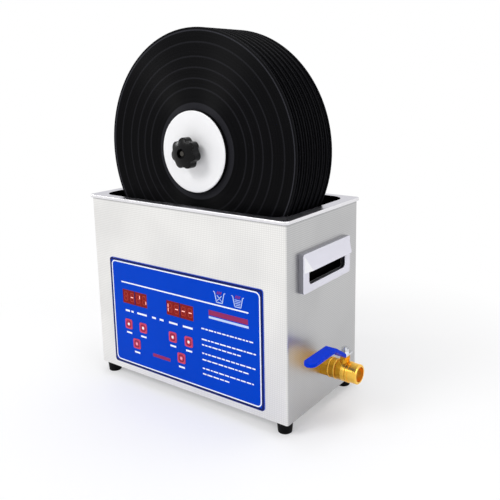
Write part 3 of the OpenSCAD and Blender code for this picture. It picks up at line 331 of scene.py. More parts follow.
rough = add_node(tree, "MapRange", {
    "Value": clouds, "From Min": 0.3, "From Max": 0.7, "To Min": 0.30, "To Max": 0.38})
shader = add_node(tree, "BsdfPrincipled", {
    "Base Color": tone, "Metallic": 1.0, "Roughness": rough, "Normal": bump})
add_node(tree, "OutputMaterial", {"Surface": shader})
print("housing steel", len(tree.nodes), "nodes, squares every", LINEN_PITCH_MM, "mm")

# %% [markdown]
# Two marks lie over the pattern: large faint clouds, as on any rolled sheet,
# and a thin grey line of painted shade under the rim's lip, where the lip casts its shadow.
# %% Clouds and painted shade under the lip
LIP_FOOT_Z = 257.5
LIP_SHADE_START, LIP_SHADE_FULL, LIP_SHADE_STRENGTH = 2.2, 0.4, 0.85
CLOUD_STRENGTH = 0.16
cloudy = add_node(tree, "MapRange", {
    "Value": clouds, "From Min": 0.4, "From Max": 0.65, "To Min": 0.0, "To Max": CLOUD_STRENGTH})
tint_where(steel, cloudy, "A6A6A8")
height = add_node(tree, "SeparateXYZ", {0: place}).outputs["Z"]
# Painted shade: a thin grey band just under the rim's lip
painted_lip_shade = add_node(tree, "MapRange", {
    "Value": height, "From Min": (LIP_FOOT_Z - LIP_SHADE_START) * MM,
    "From Max": (LIP_FOOT_Z - LIP_SHADE_FULL) * MM, "To Max": LIP_SHADE_STRENGTH})
tint_where(steel, painted_lip_shade, "6E6E72")
print("film under the lip at", LIP_FOOT_Z, "mm")

# %% [markdown]
# The tank is deep drawn from thinner stainless sheet. Its rim is polished bright, while the
# inside is painted almost black: painted shade, for the deep shade between the discs.
# %% Tank steel
RIM_Z = 262.0
# The painted shade starts and is full this far below the rim's top
SHADE_START, SHADE_FULL = 0.4, 1.2
# Half the length and half the width of the mouth
MOUTH_HALVES = {"X": 151.5, "Y": 76.5}
tank_steel = finish("deep drawn stainless steel", "E6E5E8", 0.3, 1.0, grain_mm=0.6, depth_mm=0.004,
                    stretch=(0.05, 0.05, 1), rough_drift=0.05)
tree = tank_steel.node_tree
place = find(tree, "TexCoord").outputs["Object"]
height = add_node(tree, "SeparateXYZ", {0: place}).outputs["Z"]
shade = add_node(tree, "MapRange", {
    "Value": height, "From Min": (RIM_Z - SHADE_FULL) * MM, "From Max": (RIM_Z - SHADE_START) * MM,
    "To Min": 1.0, "To Max": 0.0})
from_middle = add_node(tree, "VectorMath", {0: place, 1: at(0, 0, 0)}, operation="SUBTRACT")
reach = add_node(tree, "VectorMath", {0: from_middle}, operation="ABSOLUTE")
reach = add_node(tree, "SeparateXYZ", {0: reach})
for axis, half in MOUTH_HALVES.items():
    within = add_node(tree, "Math", {0: reach.outputs[axis], 1: half * MM}, operation="LESS_THAN")
    shade = add_node(tree, "Math", {0: shade, 1: within}, operation="MULTIPLY")
# Faces that point up, such as the flat of the rim, are painted greyer than the rim's rounded edge: painted
# shade
tint_where(tank_steel, facing_axis(tree, "Z", 0.85, 0.99), "BDBCC4")
# Painted shade: the inside of the mouth, below the rim, is painted almost black
tint_where(tank_steel, shade, "1E1E21")
print("tank steel", len(tree.nodes), "nodes")

# %% [markdown]
# ## Plain finishes
# The rest are common shop finishes. Each call states what the material is, its colour, how
# rough it is and the size of its grain, and the comment says what that does to the eye.
# %% Metals
# Zinc plating is a cool, fairly bright skin on screws, nuts and wire
zinc = finish("bright zinc plating", "D4D6DA", 0.24, 1.0, grain_mm=0.8, depth_mm=0.006)
# Turned aluminium keeps fine rings and a soft white sheen
aluminium = finish("turned aluminium", "D2D3D5", 0.34, 1.0, grain_mm=0.5)
# Rings that stand proud are painted a brighter brass: partly the rubbing of every hand that opens the
# valve, partly a painted highlight
highlit_brass = finish("highlit_burnished brass", "F9C654", 0.29, 1.0, grain_mm=0.8, depth_mm=0.0003, drift=0.04)
# Sintered bronze is dull and open grained because it holds oil
bronze = finish("oil filled sintered bronze", "A97B45", 0.5, 1.0, grain_mm=0.4, depth_mm=0.02)
# The rack is laser cut stainless plate with a level brushed grain
plate_steel = finish("brushed stainless plate", "C9C9CB", 0.30, 1.0, grain_mm=0.8, depth_mm=0.006,
                     stretch=(0.04, 1, 1))
# The shaft is ground, which leaves it bright and fine grained
shaft_steel = finish("ground stainless shaft", "C4BFB4", 0.2, 1.0, grain_mm=0.3, depth_mm=0.003)
# Its end faces are painted much darker: painted shade, as the end by the knob sits deep in its socket
tint_where(shaft_steel, facing_axis(shaft_steel.node_tree, "Y", 0.8, 0.98), "4A4844")
# A motor can is rolled and zinc plated
can_steel = finish("zinc plated motor can", "B9BBBE", 0.32, 1.0, grain_mm=1.5)
# Back masses are plain oiled steel and nearly black
oiled_steel = finish("oiled turned steel", "6A6A6C", 0.35, 1.0, grain_mm=0.5)
print("metals made, materials so far", len(bpy.data.materials))

# %% [markdown]
# The valve is forged brass, golden where it was polished, and its hollows are painted a darker
# brown as painted shade. The distance from the valve's axis tells proud rings from hollows, so the mask
# comes from the shape.
# %% Brass
VALVE_AXIS_Z = 60.0
HOLLOW_R, PROUD_R = 10.2, 12.2
brass = finish("forged and turned brass", "D0962A", 0.24, 1.0, grain_mm=1.5, depth_mm=0.0008,
               drift=0.08, patch_mm=12)
radius = distance_from(brass.node_tree, at(0, 0, VALVE_AXIS_Z), (0, 1, 1))
painted_shade_hollows = add_node(brass.node_tree, "MapRange", {
    "Value": radius, "From Min": HOLLOW_R * MM, "From Max": PROUD_R * MM, "To Min": 1.0, "To Max": 0.0})
# Painted shade: the hollows are painted a darker brown
tint_where(brass, painted_shade_hollows, "9A5A14")
print("brass darkens inside", PROUD_R, "mm of the valve's axis")

# %% [markdown]
# Coated, moulded and dipped pieces have no metal grain. What the eye reads is how sharp a
# reflection is and how much of it there is, so these differ in roughness and in the strength of
# the reflection, which the black ones keep low.
# %% Coatings, plastics and rubber
# Powder coating melts into a skin with a faint orange peel
powder = finish("pale grey powder coating", "E4E3EE", 0.24, 0.25, grain_mm=1.8, depth_mm=0.0015,
                drift=0.02, rough_drift=0.01)
tree = powder.node_tree
# Its slanted cheeks are painted almost white: a painted highlight, where they face the lamp
tint_where(powder, facing_axis(tree, "Y", 0.25, 0.45), "FCFCFF")
# The edges that turn back to the wall are painted a darker grey: painted shade, where they face away from
# the lamps
outward_facing = facing_axis(tree, "X", 0.15, 0.55)
painted_shade_edge = add_node(tree, "Math", {0: 1.0, 1: outward_facing}, operation="SUBTRACT")
tint_where(powder, painted_shade_edge, "93939B")
# Spark eroded moulds leave black parts with a fine dull grain
black_abs = finish("textured black ABS", "0C0C0E", 0.46, grain_mm=0.5, depth_mm=0.02, drift=0.2,
                   specular=0.22)
# The pocket behind the slot is the same plastic, painted darker as painted shade, since it is seen only in
# shade
shaded_pocket_abs = finish("smooth black ABS", "020202", 0.5, grain_mm=0.9, drift=0.2, specular=0.03)
# Phenolic knobs come out of a polished mould: black with a soft shine
phenolic = finish("moulded phenolic", "030304", 0.2, grain_mm=0.7, depth_mm=0.001, drift=0.15,
                  specular=0.16)
# Natural rubber feet are matt, with a bloom that greys them slightly
rubber = finish("moulded natural rubber", "050506", 0.55, grain_mm=0.6, depth_mm=0.03, drift=0.25,
                specular=0.08)
# Dipped vinyl is thick, glossy and a little uneven
dipped_vinyl = finish("dipped soft vinyl", "0036D2", 0.26, grain_mm=6.0, depth_mm=0.05, drift=0.1,
                      patch_mm=20, specular=0.03)
# The covers are moulded white styrene with a satin face
styrene = finish("white moulded styrene", "F1F1F2", 0.34, grain_mm=1.2, depth_mm=0.006, drift=0.015)
# Valve seats are turned from white fluoropolymer, waxy and dull
fluoropolymer = finish("turned fluoropolymer", "F2F2F0", 0.45, grain_mm=0.5, drift=0.02)
# Heating mats are orange silicone over glass cloth, which shows as a coarse grain
silicone = finish("silicone heating mat", "C8561E", 0.5, grain_mm=1.2, depth_mm=0.05, drift=0.08)
# Solder resist is a green glaze over woven glass
circuit_board = finish("green solder resist", "0F5A2A", 0.3, grain_mm=3.0, drift=0.2)
# Piezo ceramic is fired, silvered and off white
ceramic = finish("silvered piezo ceramic", "DCD6C4", 0.35, 0.3, grain_mm=0.8)
print("coatings and plastics made, materials so far", len(bpy.data.materials))

# %% [markdown]
# ## Printed panel
# The panel is a polycarbonate sheet printed from behind in deep blue, so the colour sits under a
# satin clear skin. Its inks are thin raised layers here, which keeps their edges sharp at any size.
# %% Inks and lenses
# Blue seen through the clear sheet is deep and even, with little shine of its own
blue_print = finish("blue back printed polycarbonate", "0041C4", 0.3, grain_mm=0.35, depth_mm=0.003,
                    patch_mm=120, specular=0.03)
# Inks dry to flat, even colour, and the navy edge goes on thickest
navy_print = finish("navy edge print", "04145C", 0.32, specular=0.12)
white_ink = finish("white screen ink", "F2F6FF", 0.4, drift=0.02)
pale_ink = finish("pale blue screen ink", "BFD4F6", 0.4, drift=0.02)
pale_pink_ink = finish("pink screen ink", "F0A0B4", 0.4, drift=0.02)
red_ink = finish("red screen ink", "94265C", 0.4, drift=0.06, specular=0.15)
# Moulded keys are dyed through, and their domes are the darker, smoother part
pink_key = finish("pink red moulded key", "CF4064", 0.34, grain_mm=0.6, drift=0.04, specular=0.2)
crimson_key = finish("crimson key dome", "8A0E3A", 0.3, grain_mm=0.6, specular=0.2)
# Tinted acrylic is glossy, and the dark gaps behind it make its red uneven
red_window = finish("red tinted acrylic", "8A0E08", 0.2, grain_mm=4, drift=0.14, patch_mm=8, specular=0.15)
# An unlit bar is a paler red through the lens, and a lit one glows nearly white
red_segment = finish("unlit red segment", "A22A16", 0.35, specular=0.15)
lit_segment = finish("lit red segment", "FFB0A8", 0.4, drift=0.02,
                     **{"Emission Color": linear("FF9C92"), "Emission Strength": 0.55})
print("inks made, materials so far", len(bpy.data.materials))

# %% [markdown]
# ## Grooved vinyl
# A record's face is thousands of fine circular grooves. They spread a lamp's reflection into two
# bright wedges across the disc, which an anisotropic shader gives when its tangent runs round the
# spindle. Real grooves are 0.1 mm apart, far below a pixel, so the bump draws one each 0.9 mm.
# Rings without grooves, such as the gaps between tracks, are painted lighter: a painted sheen for the
# light that smooth vinyl catches.
# %% Vinyl
GROOVE_MM, GROOVE_DEPTH_MM, GROOVE_STRENGTH = 0.9, 0.012, 0.5
LOUDNESS_MM, LOUDNESS_STRENGTH = 3.5, 0.08
# Radius, half width, fade and painted sheen of the rings without grooves: the gaps between tracks, then
# the run-out by the label and the two lines of the bead, where the painted sheen is a painted highlight
SMOOTH_RINGS = [(gap, 0.65, 0.65, 0.34) for gap in (133.0, 116.0, 103.0, 90.0, 78.5)]
SMOOTH_RINGS += [(55.15, 5.15, 0.4, 0.62), (146.8, 0.6, 0.4, 1.0), (150.8, 1.2, 0.4, 0.2)]
vinyl = bpy.data.materials.new("pressed black vinyl")
tree = fresh_tree(vinyl)
radius = distance_from(tree, (0, 0, 0), (1, 0, 1))
painted_sheen = 0.0
for middle, half, fade, sheen_share in SMOOTH_RINGS:
    away = add_node(tree, "Math", {0: radius, 1: middle * MM}, operation="SUBTRACT")
    away = add_node(tree, "Math", {0: away}, operation="ABSOLUTE")
    ring = add_node(tree, "MapRange", {
        "Value": away, "From Min": half * MM, "From Max": (half + fade) * MM,
        "To Min": sheen_share, "To Max": 0.0})
    painted_sheen = add_node(tree, "Math", {0: painted_sheen, 1: ring}, operation="MAXIMUM")
# Loud and quiet passages change how much light a stretch of groove scatters, which is painted into the
# colour as a painted sheen
ring_place = add_node(tree, "CombineXYZ", {"X": radius})
loud = add_node(tree, "TexNoise", {
    "Vector": ring_place, "Scale": per_metre(LOUDNESS_MM), "Detail": 4.0})
level = add_node(tree, "MapRange", {
    "Value": loud, "From Min": 0.3, "From Max": 0.7, "To Min": 0.0, "To Max": LOUDNESS_STRENGTH})
level = add_node(tree, "Math", {0: level, 1: painted_sheen}, operation="MAXIMUM")
# The painted sheen lifts the black towards grey
tone = add_node(tree, "Mix", {
    "Factor": level, "A": linear("020203"), "B": linear("2E2E33")}, data_type="RGBA")
rough = add_node(tree, "MapRange", {"Value": level, "To Min": 0.5, "To Max": 0.4})
phase = add_node(tree, "Math", {0: radius, 1: math.tau * per_metre(GROOVE_MM)},
                 operation="MULTIPLY")
groove = add_node(tree, "Math", {0: phase}, operation="SINE")
bump = add_node(tree, "Bump", {
    "Height": groove, "Distance": GROOVE_DEPTH_MM * MM, "Strength": GROOVE_STRENGTH})
tangent = add_node(tree, "Tangent", direction_type="RADIAL", axis="Y")
shader = add_node(tree, "BsdfPrincipled", {
    "Base Color": tone, "Roughness": rough, "Anisotropic": 0.95, "Anisotropic Rotation": 0.25,
    "Specular IOR Level": 0.055, "Normal": bump, "Tangent": tangent})
add_node(tree, "OutputMaterial", {"Surface": shader})
print("smooth rings", len(SMOOTH_RINGS), "materials", len(bpy.data.materials))

# %% [markdown]
# ## Which node wears what
# Nodes whose solid shape is right keep it and only get their material. The record that came with
# the frame says which body each node moves with.
# %% Materials by node
WORN_BY = (
    (steel, "housing"), (tank_steel, "tank drain_fitting"), (brass, "drain_elbow valve_body"),
    (highlit_brass, "outlet_nipple"), (bronze, "spindle_bush"), (shaft_steel, "spindle"),
    (zinc, "base_plate foot_screws fan_guard valve_ball valve_stem valve_lever lever_nut"),
    (aluminium, "transducer_front_masses heat_sink"), (oiled_steel, "transducer_back_masses"),
    (can_steel, "gear_motor"), (plate_steel, "hanger_bracket motor_plate"),
    (powder, "right_carry_handle left_carry_handle"), (shaded_pocket_abs, "handle_cups"),
    (black_abs, "mains_inlet switch_frame fan_frame rocker fan_rotor motor_cover dc_jack"),
    (phenolic, "height_knob star_knob"), (rubber, "rubber_feet"), (dipped_vinyl, "lever_sleeve"),
    (styrene, "rear_label_cover front_label_cover label_spacers"), (fluoropolymer, "valve_seats"),
    (silicone, "heating_pads"), (circuit_board, "control_board generator_board"),
    (ceramic, "piezo_rings"), (blue_print, "control_panel"),
    (red_window, "temperature_display timer_display"))
WEARS = {name: material for material, names in WORN_BY for name in names.split()}
WEARS.update({name: pink_key for name in nodes if name.startswith("key_")})
WEARS.update({name: vinyl for name in nodes if name.startswith("record_")})


def wear(mesh, material):
    """Gives a mesh one material."""
    mesh.materials.clear()
    mesh.materials.append(material)


for name, thing in nodes.items():
    wear(thing.data, WEARS[name])
bodies = frame["record"]["behaviour"]["bodies"]
body_of = {node: body for body, members in bodies.items() for node in members}
print("dressed nodes", len(WEARS), "of", len(nodes))

# %% [markdown]
# ## New pieces
# A new piece needs a material, a kind of shading, a body to ride on and the name of the solid that
# it stands for, if there is one. One function asks for all of it, so nothing is forgotten.
# %% A piece on its body
SHARP_ANGLE = math.radians(32)


def smooth(mesh):
    """Smooth shading that stays crisp where faces meet at a clear angle."""
    mesh.polygons.foreach_set("use_smooth", [True] * len(mesh.polygons))
    mesh.set_sharp_from_angle(angle=SHARP_ANGLE)


def add_piece(name, mesh, material, node, stands_for=False, where=(0, 0, 0), shading="even"):
    """Puts a mesh into the scene as a piece on a node's body. Shading is flat, smooth or even."""
    wear(mesh, material)
    if shading != "flat":
        smooth(mesh)
    piece = bpy.data.objects.new(name, mesh)
    piece.location = where
    bpy.context.scene.collection.objects.link(piece)
    if shading == "even":
        # Large flat faces keep their own direction, so only the rounded strips beside them shade
        even = piece.modifiers.new("even shading", "WEIGHTED_NORMAL")
        even.keep_sharp = True
    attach(piece, body_of[node])
    if stands_for:
        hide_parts(node)


print("edges sharper than", round(math.degrees(SHARP_ANGLE)), "degrees stay crisp")

# %% [markdown]
# ## Softer edges
# Pressed sheet and castings have no razor edges. For the pieces in view a copy of the
# solid's mesh is welded, its flat areas joined into single faces, and its edges rounded by a few
# tenths of a millimetre, which is what catches the light along them.
# %% Rounded copies
WELD_MM = 0.002
FLAT_ANGLE, EDGE_ANGLE = math.radians(0.8), math.radians(28)
EDGE_STEPS = 2
# How far from the edge the rounding starts, in millimetres
ROUNDED = {"right_carry_handle": 0.4, "left_carry_handle": 0.4, "handle_cups": 0.3, "lever_sleeve": 0.5,
           "mains_inlet": 0.4, "switch_frame": 0.4, "rocker": 0.3, "fan_frame": 0.3,
           "hanger_bracket": 0.3, "motor_plate": 0.3, "motor_cover": 0.8, "height_knob": 0.3,
           "dc_jack": 0.3, "base_plate": 0.2, "housing": 0.3}
for node, width in ROUNDED.items():
    mesh = nodes[node].data.copy()
    mesh.name = node + "_rounded"
    bm = bmesh.new()
    bm.from_mesh(mesh)
    bmesh.ops.remove_doubles(bm, verts=bm.verts, dist=WELD_MM * MM)
    bmesh.ops.dissolve_limit(bm, angle_limit=FLAT_ANGLE, verts=bm.verts, edges=bm.edges)
    sharp = [e for e in bm.edges if e.is_manifold and e.calc_face_angle(0) > EDGE_ANGLE]
    bmesh.ops.bevel(bm, geom=sharp, offset=width * MM, segments=EDGE_STEPS, profile=0.5, affect="EDGES",
                    clamp_overlap=True)
    bm.to_mesh(mesh)
    bm.free()
    add_piece(node + "_rounded", mesh, WEARS[node], node, True)
    print(node, "faces", len(mesh.polygons))

# %% [markdown]
# ## Discs
# A pressed disc isn't flat. It has a thick label area, a thin grooved field and a rounded bead at
# the edge. All of that is round, so one half profile is spun about the spindle. The thick and
# thin parts match the solid disc that it stands for.
# %% Lathe


def skin(bm, loops):
    """Joins a stack of equal loops with faces, and the last loop back to the first."""
    for one, two in zip(loops, loops[1:] + loops[:1]):
        for i in range(len(one)):
            j = (i + 1) % len(one)
            bm.faces.new((one[i], one[j], two[j], two[i]))


def finished_mesh(bm, name):
    """A mesh of what was drawn, with every face turned outward."""
    bmesh.ops.recalc_face_normals(bm, faces=bm.faces)
    mesh = bpy.data.meshes.new(name)
    bm.to_mesh(mesh)
    bm.free()
    return mesh


def spin(name, profile, steps):
    """A mesh spun about its own Y axis from (radius, y) points in millimetres."""
    bm = bmesh.new()
    angles = [math.tau * i / steps for i in range(steps)]
    skin(bm, [[bm.verts.new((radius * math.cos(a) * MM, y * MM, radius * math.sin(a) * MM))
               for a in angles] for radius, y in profile])
    return finished_mesh(bm, name)


def mirrored(side):
    """Points on the far side in the same order, then the given ones in reverse: a closed section."""
    return [(r, -y) for r, y in side] + side[::-1]


print("lathe ready: half a section of 2 points closes to", len(mirrored([(1, 1), (2, 1)])))

# %% [markdown]
# The profile runs from the hole out across the front face, round the bead and back across the
# rear face. The bead is half a circle, so its points come from an angle.
# %% Eight discs
SPINDLE_X, SPINDLE_Z = 11.0, 328.0
FIRST_RECORD_Y, RECORD_PITCH, RECORD_COUNT = -58.0, 10.8, 8
# A hair under the solid disc's 150.5, so the spun one stays inside it
RECORD_R, RECORD_T = 150.48, 1.9
GROOVE_T = 1.5
BEAD_W = 4.0
HOLE_R = 3.65
LABEL_EDGE_R = 52.0
# Width of both slopes, and the toe and shoulder that ease them
SLOPE_W = 0.6
TOE_W, TOE_H = 0.4, 0.05
SHOULDER_W, SHOULDER_H = 0.5, 0.12
DISC_STEPS = 180
half, thin = RECORD_T / 2, GROOVE_T / 2
front_side = [(HOLE_R, -half), (LABEL_EDGE_R - SLOPE_W, -half), (LABEL_EDGE_R, -thin - TOE_H),
              (LABEL_EDGE_R + TOE_W, -thin), (RECORD_R - BEAD_W - SLOPE_W, -thin),
              (RECORD_R - BEAD_W, -thin - SHOULDER_H), (RECORD_R - BEAD_W + SHOULDER_W, -half)]
bead = [(RECORD_R - half + half * math.cos(a), half * math.sin(a))
        for a in (math.radians(d) for d in range(-90, 91, 15))]
disc_profile = front_side + bead + [(r, -y) for r, y in reversed(front_side)]
for number in range(1, RECORD_COUNT + 1):
    name, node = f"grooved_disc_{number}", f"record_{number}"
    where = at(SPINDLE_X, FIRST_RECORD_Y + (number - 1) * RECORD_PITCH, SPINDLE_Z)
    add_piece(name, spin(name, disc_profile, DISC_STEPS), vinyl, node, True, where, "smooth")
print("discs", RECORD_COUNT, "points in profile", len(disc_profile))

# %% [markdown]
# Each label cover is white outside, and a black rubber ring wraps its edge from the disc to its open
# face: painted shade for the cover's side, which faces away from the lamps. Seen at a slant, that ring
# parts the white from the vinyl with a black line.
# %% Two painted shade rings
COVER_R = 51.4
# The ring's inner, shoulder and outer radius
SHADE_RING_IN, SHADE_RING_SHOULDER, SHADE_RING_OUT = COVER_R - 0.3, COVER_R + 0.5, COVER_R + 0.7
SHADE_RING_LEAN = 0.3
SHADE_RING_STEPS = 160
# Where each ring meets the disc and where it ends on the open side
SHADE_RINGS = {"front_label_cover": (-58.96, -63.6), "rear_label_cover": (18.56, 23.2)}
for cover, (disc_side, open_side) in SHADE_RINGS.items():
    lean = math.copysign(SHADE_RING_LEAN, open_side - disc_side)
    section = [(SHADE_RING_IN, disc_side), (SHADE_RING_SHOULDER, disc_side), (SHADE_RING_OUT, disc_side + lean),
               (SHADE_RING_OUT, open_side - lean * 2), (SHADE_RING_SHOULDER, open_side - lean), (SHADE_RING_IN, open_side)]
    # A black ring of painted shade round the cover's side
    ring = spin(cover + "_shade_ring", section, SHADE_RING_STEPS)
    ring.transform(Matrix.Translation(at(SPINDLE_X, 0, SPINDLE_Z)))
    add_piece(cover + "_shade_ring", ring, rubber, cover)
print("shade_rings", len(SHADE_RINGS))

# %% [markdown]
# ## Bright rings on the valve
# Turning leaves three raised rings round the valve's body. They are painted bright: partly as handling
# rubs them, partly a painted highlight. Each is spun from a small rounded section and sits on the solid
# body.
# %% Rings
BODY_R, RING_SUNK = 12.4, 1.2
# Place along the valve, width and height of each ring
RINGS = ((173.6, 1.7, 0.55), (181.6, 2.0, 0.5), (193.4, 5.6, 0.35))
# A corner takes this share of the height, and is cut at this share of itself
CORNER_SHARE, CORNER_CUT = 0.7, 0.3
RING_STEPS = 96
bm = bmesh.new()
for middle, width, proud in RINGS:
    half_w, top = width / 2, BODY_R + proud
    corner = min(proud, half_w) * CORNER_SHARE
    side = [(BODY_R - RING_SUNK, half_w), (top - corner, half_w),
            (top - corner * CORNER_CUT, half_w - corner * CORNER_CUT), (top, half_w - corner)]
    ring = spin("ring", mirrored(side), RING_STEPS)
    # The lathe spins about Y, and the valve lies along X
    lay_down = Matrix.Rotation(math.radians(-90), 4, "Z")
    ring.transform(Matrix.Translation(at(middle, 0, VALVE_AXIS_Z)) @ lay_down)
    bm.from_mesh(ring)
add_piece("valve_rings", finished_mesh(bm, "valve_rings"), highlit_brass, "valve_body")
print("valve rings", len(RINGS))

# %% [markdown]
# ## Knob
# The knob is moulded in one piece with seven lobes. Its outline is worked out from arcs: lobe
# circles joined by smaller scoops. The outline is stacked in rings that draw in at both faces, which
# rounds the rim as a mould does, and the last rings follow the crowned front down to the
# socket that holds the rod's end.
# %% Seven lobes
LOBES = 7
LOBE_R, SCOOP_R = 6.2, 4.0
KNOB_R = 19.5
LOBE_OUT = KNOB_R - LOBE_R
LOBE_STEP = math.pi / LOBES
ACROSS, ALONG = LOBE_OUT * math.sin(LOBE_STEP), LOBE_OUT * math.cos(LOBE_STEP)
SCOOP_OUT = ALONG + math.sqrt((LOBE_R + SCOOP_R) ** 2 - ACROSS ** 2)
# Where a lobe and a scoop touch, as an angle from the scoop's middle
SCOOP_SHARE = SCOOP_R / (LOBE_R + SCOOP_R)
TOUCH = math.atan2(ACROSS * SCOOP_SHARE, ALONG * SCOOP_SHARE + SCOOP_OUT * LOBE_R / (LOBE_R + SCOOP_R))


def lobed_radius(angle):
    """Distance from the axis to the outline along a ray, measured from the nearest lobe."""
    off = abs((angle + LOBE_STEP) % (2 * LOBE_STEP) - LOBE_STEP)
    on_lobe = LOBE_OUT * math.cos(off) + math.sqrt(max(0.0, LOBE_R ** 2 - (LOBE_OUT * math.sin(off)) ** 2))
    side = LOBE_STEP - off
    under = SCOOP_R ** 2 - (SCOOP_OUT * math.sin(side)) ** 2
    if under <= 0 or side >= TOUCH:
        return on_lobe
    return SCOOP_OUT * math.cos(side) - math.sqrt(under)


print("lobe to", round(lobed_radius(0), 2), "scoop to", round(lobed_radius(LOBE_STEP), 2), "mm")

# %% [markdown]
# The stack starts at the bore behind, goes out over the hub and the lobes' back rim, forward to
# the front rim, in across the crown and down into the socket. Quarter circles round both rims.
# %% Stacked rings
HUB_R, HUB_L, BODY_L = 11.0, 7.0, 16.0
SOCKET_R, SOCKET_D, BORE_R = 6.0, 5.0, 3.1
CROWN_R = 44.0
KNOB_BACK_Y = -64.55
# Rounding at the front rim, at the back rim and at the hub, and the socket's chamfer
EDGE_ROUND, BACK_ROUND, HUB_ROUND, SOCKET_CHAMFER = 1.1, 0.66, 0.6, 0.5
FRONT_STEPS, BACK_STEPS = 5, 4
KNOB_STEPS = 28 * LOBES
face_y = -(HUB_L + BODY_L)
bm = bmesh.new()
loops = []


def add_loop(radius_at, y_at):
    """One ring of the knob. The radius is a function of the angle, and the height of the radius."""
    made = []
    for i in range(KNOB_STEPS):
        a = math.tau * i / KNOB_STEPS
        r = radius_at(a)
        made.append(bm.verts.new((-r * math.sin(a) * MM, y_at(r) * MM, r * math.cos(a) * MM)))
    loops.append(made)


def crown(r):
    """Height of the crowned front at a radius."""
    return face_y + CROWN_R - math.sqrt(CROWN_R ** 2 - r ** 2)


add_loop(lambda a: BORE_R, lambda r: 0.0)
for inset, y in ((HUB_ROUND, 0.0), (0.0, -HUB_ROUND), (0.0, -HUB_L)):
    add_loop(lambda a: HUB_R - inset, lambda r: y)
for step in range(BACK_STEPS + 1):
    t = math.radians(90 * step / BACK_STEPS)
    add_loop(lambda a: lobed_radius(a) - BACK_ROUND * (1 - math.sin(t)),
             lambda r: -HUB_L - BACK_ROUND * (1 - math.cos(t)))
for step in range(FRONT_STEPS + 1):
    t = math.radians(90 * step / FRONT_STEPS)
    add_loop(lambda a: lobed_radius(a) - EDGE_ROUND * (1 - math.cos(t)),
             lambda r: crown(KNOB_R if t == 0 else r) + EDGE_ROUND * (1 - math.sin(t)))
for share in (0.25, 0.5, 0.75):
    add_loop(lambda a: (lobed_radius(a) - EDGE_ROUND) * (1 - share) + (SOCKET_R + SOCKET_CHAMFER) * share,
             crown)
add_loop(lambda a: SOCKET_R + SOCKET_CHAMFER, crown)
add_loop(lambda a: SOCKET_R, lambda r: crown(r) + SOCKET_CHAMFER)
add_loop(lambda a: SOCKET_R, lambda r: face_y + SOCKET_D)
add_loop(lambda a: BORE_R, lambda r: face_y + SOCKET_D)
skin(bm, loops)
knob_mesh = finished_mesh(bm, "lobed_knob")
knob_mesh.transform(Matrix.Translation(at(SPINDLE_X, KNOB_BACK_Y, SPINDLE_Z)))
add_piece("lobed_knob", knob_mesh, phenolic, "star_knob", True)
print("knob rings", len(loops))

# %% [markdown]
# ## Print on the panel
# Screen ink stands a few hundredths of a millimetre proud, and is drawn a little thicker here so
# that it shows. Every mark is a thin closed slab, cut from a flat outline, so its edge stays
# sharp when someone looks closely.
# %% Slabs of ink
PANEL_FACE_Y = -85.0
INK_T = 0.1
CORNER_STEPS = 6


def rounded_outline(cx, cz, width, height, radius):
    """Corner points of a rounded rectangle in millimetres."""
    points = []
    for quarter, (sx, sz) in enumerate(((1, 1), (-1, 1), (-1, -1), (1, -1))):
        for i in range(CORNER_STEPS + 1):
            a = math.radians(90 * quarter + 90 * i / CORNER_STEPS)
            points.append((cx + sx * (width / 2 - radius) + radius * math.cos(a),
                           cz + sz * (height / 2 - radius) + radius * math.sin(a)))
    return points


def slab(bm, outer, back_y=PANEL_FACE_Y, thickness=INK_T, inner=None):
    """A closed slab on a wall that faces the front. An inner outline with as many points cuts a hole."""
    def row(points, y):
        return [bm.verts.new(at(x, y, z)) for x, z in points]
    count = len(outer)
    out_back, out_front = row(outer, back_y), row(outer, back_y - thickness)
    if inner:
        in_back, in_front = row(inner, back_y), row(inner, back_y - thickness)
    for i in range(count):
        j = (i + 1) % count
        bm.faces.new((out_back[i], out_back[j], out_front[j], out_front[i]))
        if inner:
            bm.faces.new((in_back[j], in_back[i], in_front[i], in_front[j]))
            bm.faces.new((out_front[i], out_front[j], in_front[j], in_front[i]))
            bm.faces.new((out_back[j], out_back[i], in_back[i], in_back[j]))
    if not inner:
        bm.faces.new(out_front)
        bm.faces.new(out_back[::-1])


def frame_line(bm, cx, cz, width, height, radius, line, back_y=PANEL_FACE_Y, thickness=INK_T):
    """A rounded rectangle drawn as a line of even width."""
    slab(bm, rounded_outline(cx, cz, width, height, radius), back_y, thickness,
         rounded_outline(cx, cz, width - 2 * line, height - 2 * line, max(0.1, radius - line)))


def bar(bm, x0, x1, z0, z1, back_y=PANEL_FACE_Y):
    """An upright or level bar."""
    slab(bm, [(x0, z0), (x1, z0), (x1, z1), (x0, z1)], back_y)


def stroke(bm, start, end, line):
    """A straight line of even width between two points on the panel."""
    (x0, z0), (x1, z1) = start, end
    length = math.hypot(x1 - x0, z1 - z0)
    nx, nz = (z1 - z0) / length * line / 2, -(x1 - x0) / length * line / 2
    slab(bm, [(x0 + nx, z0 + nz), (x1 + nx, z1 + nz), (x1 - nx, z1 - nz), (x0 - nx, z0 - nz)])


def ink_piece(name, bm, material, node):
    """Turns drawn slabs into a piece that rides with a node."""
    add_piece(name, finished_mesh(bm, name), material, node, shading="flat")


print("ink", INK_T, "mm thick")

# %% [markdown]
# The panel has a dark edge and, inside it, a white border and a rule. Its words are drawn as
# plain strokes of the same height, in lines that end where the real ones do.
# %% Border, rule and strokes
PANEL_X, PANEL_MID_Z, PANEL_W, PANEL_H = -1.5, 100.5, 261.0, 153.0
# How much smaller than the panel, corner radius, line and thickness
EDGE_LESS, EDGE_CORNER, EDGE_LINE, EDGE_T = 0.6, 3.6, 3.1, 0.06
BORDER_LESS, BORDER_CORNER, BORDER_LINE = 7.0, 7.0, 1.6
# Left, right, foot and top
RULE = (-111, 108, 143.8, 145.6)
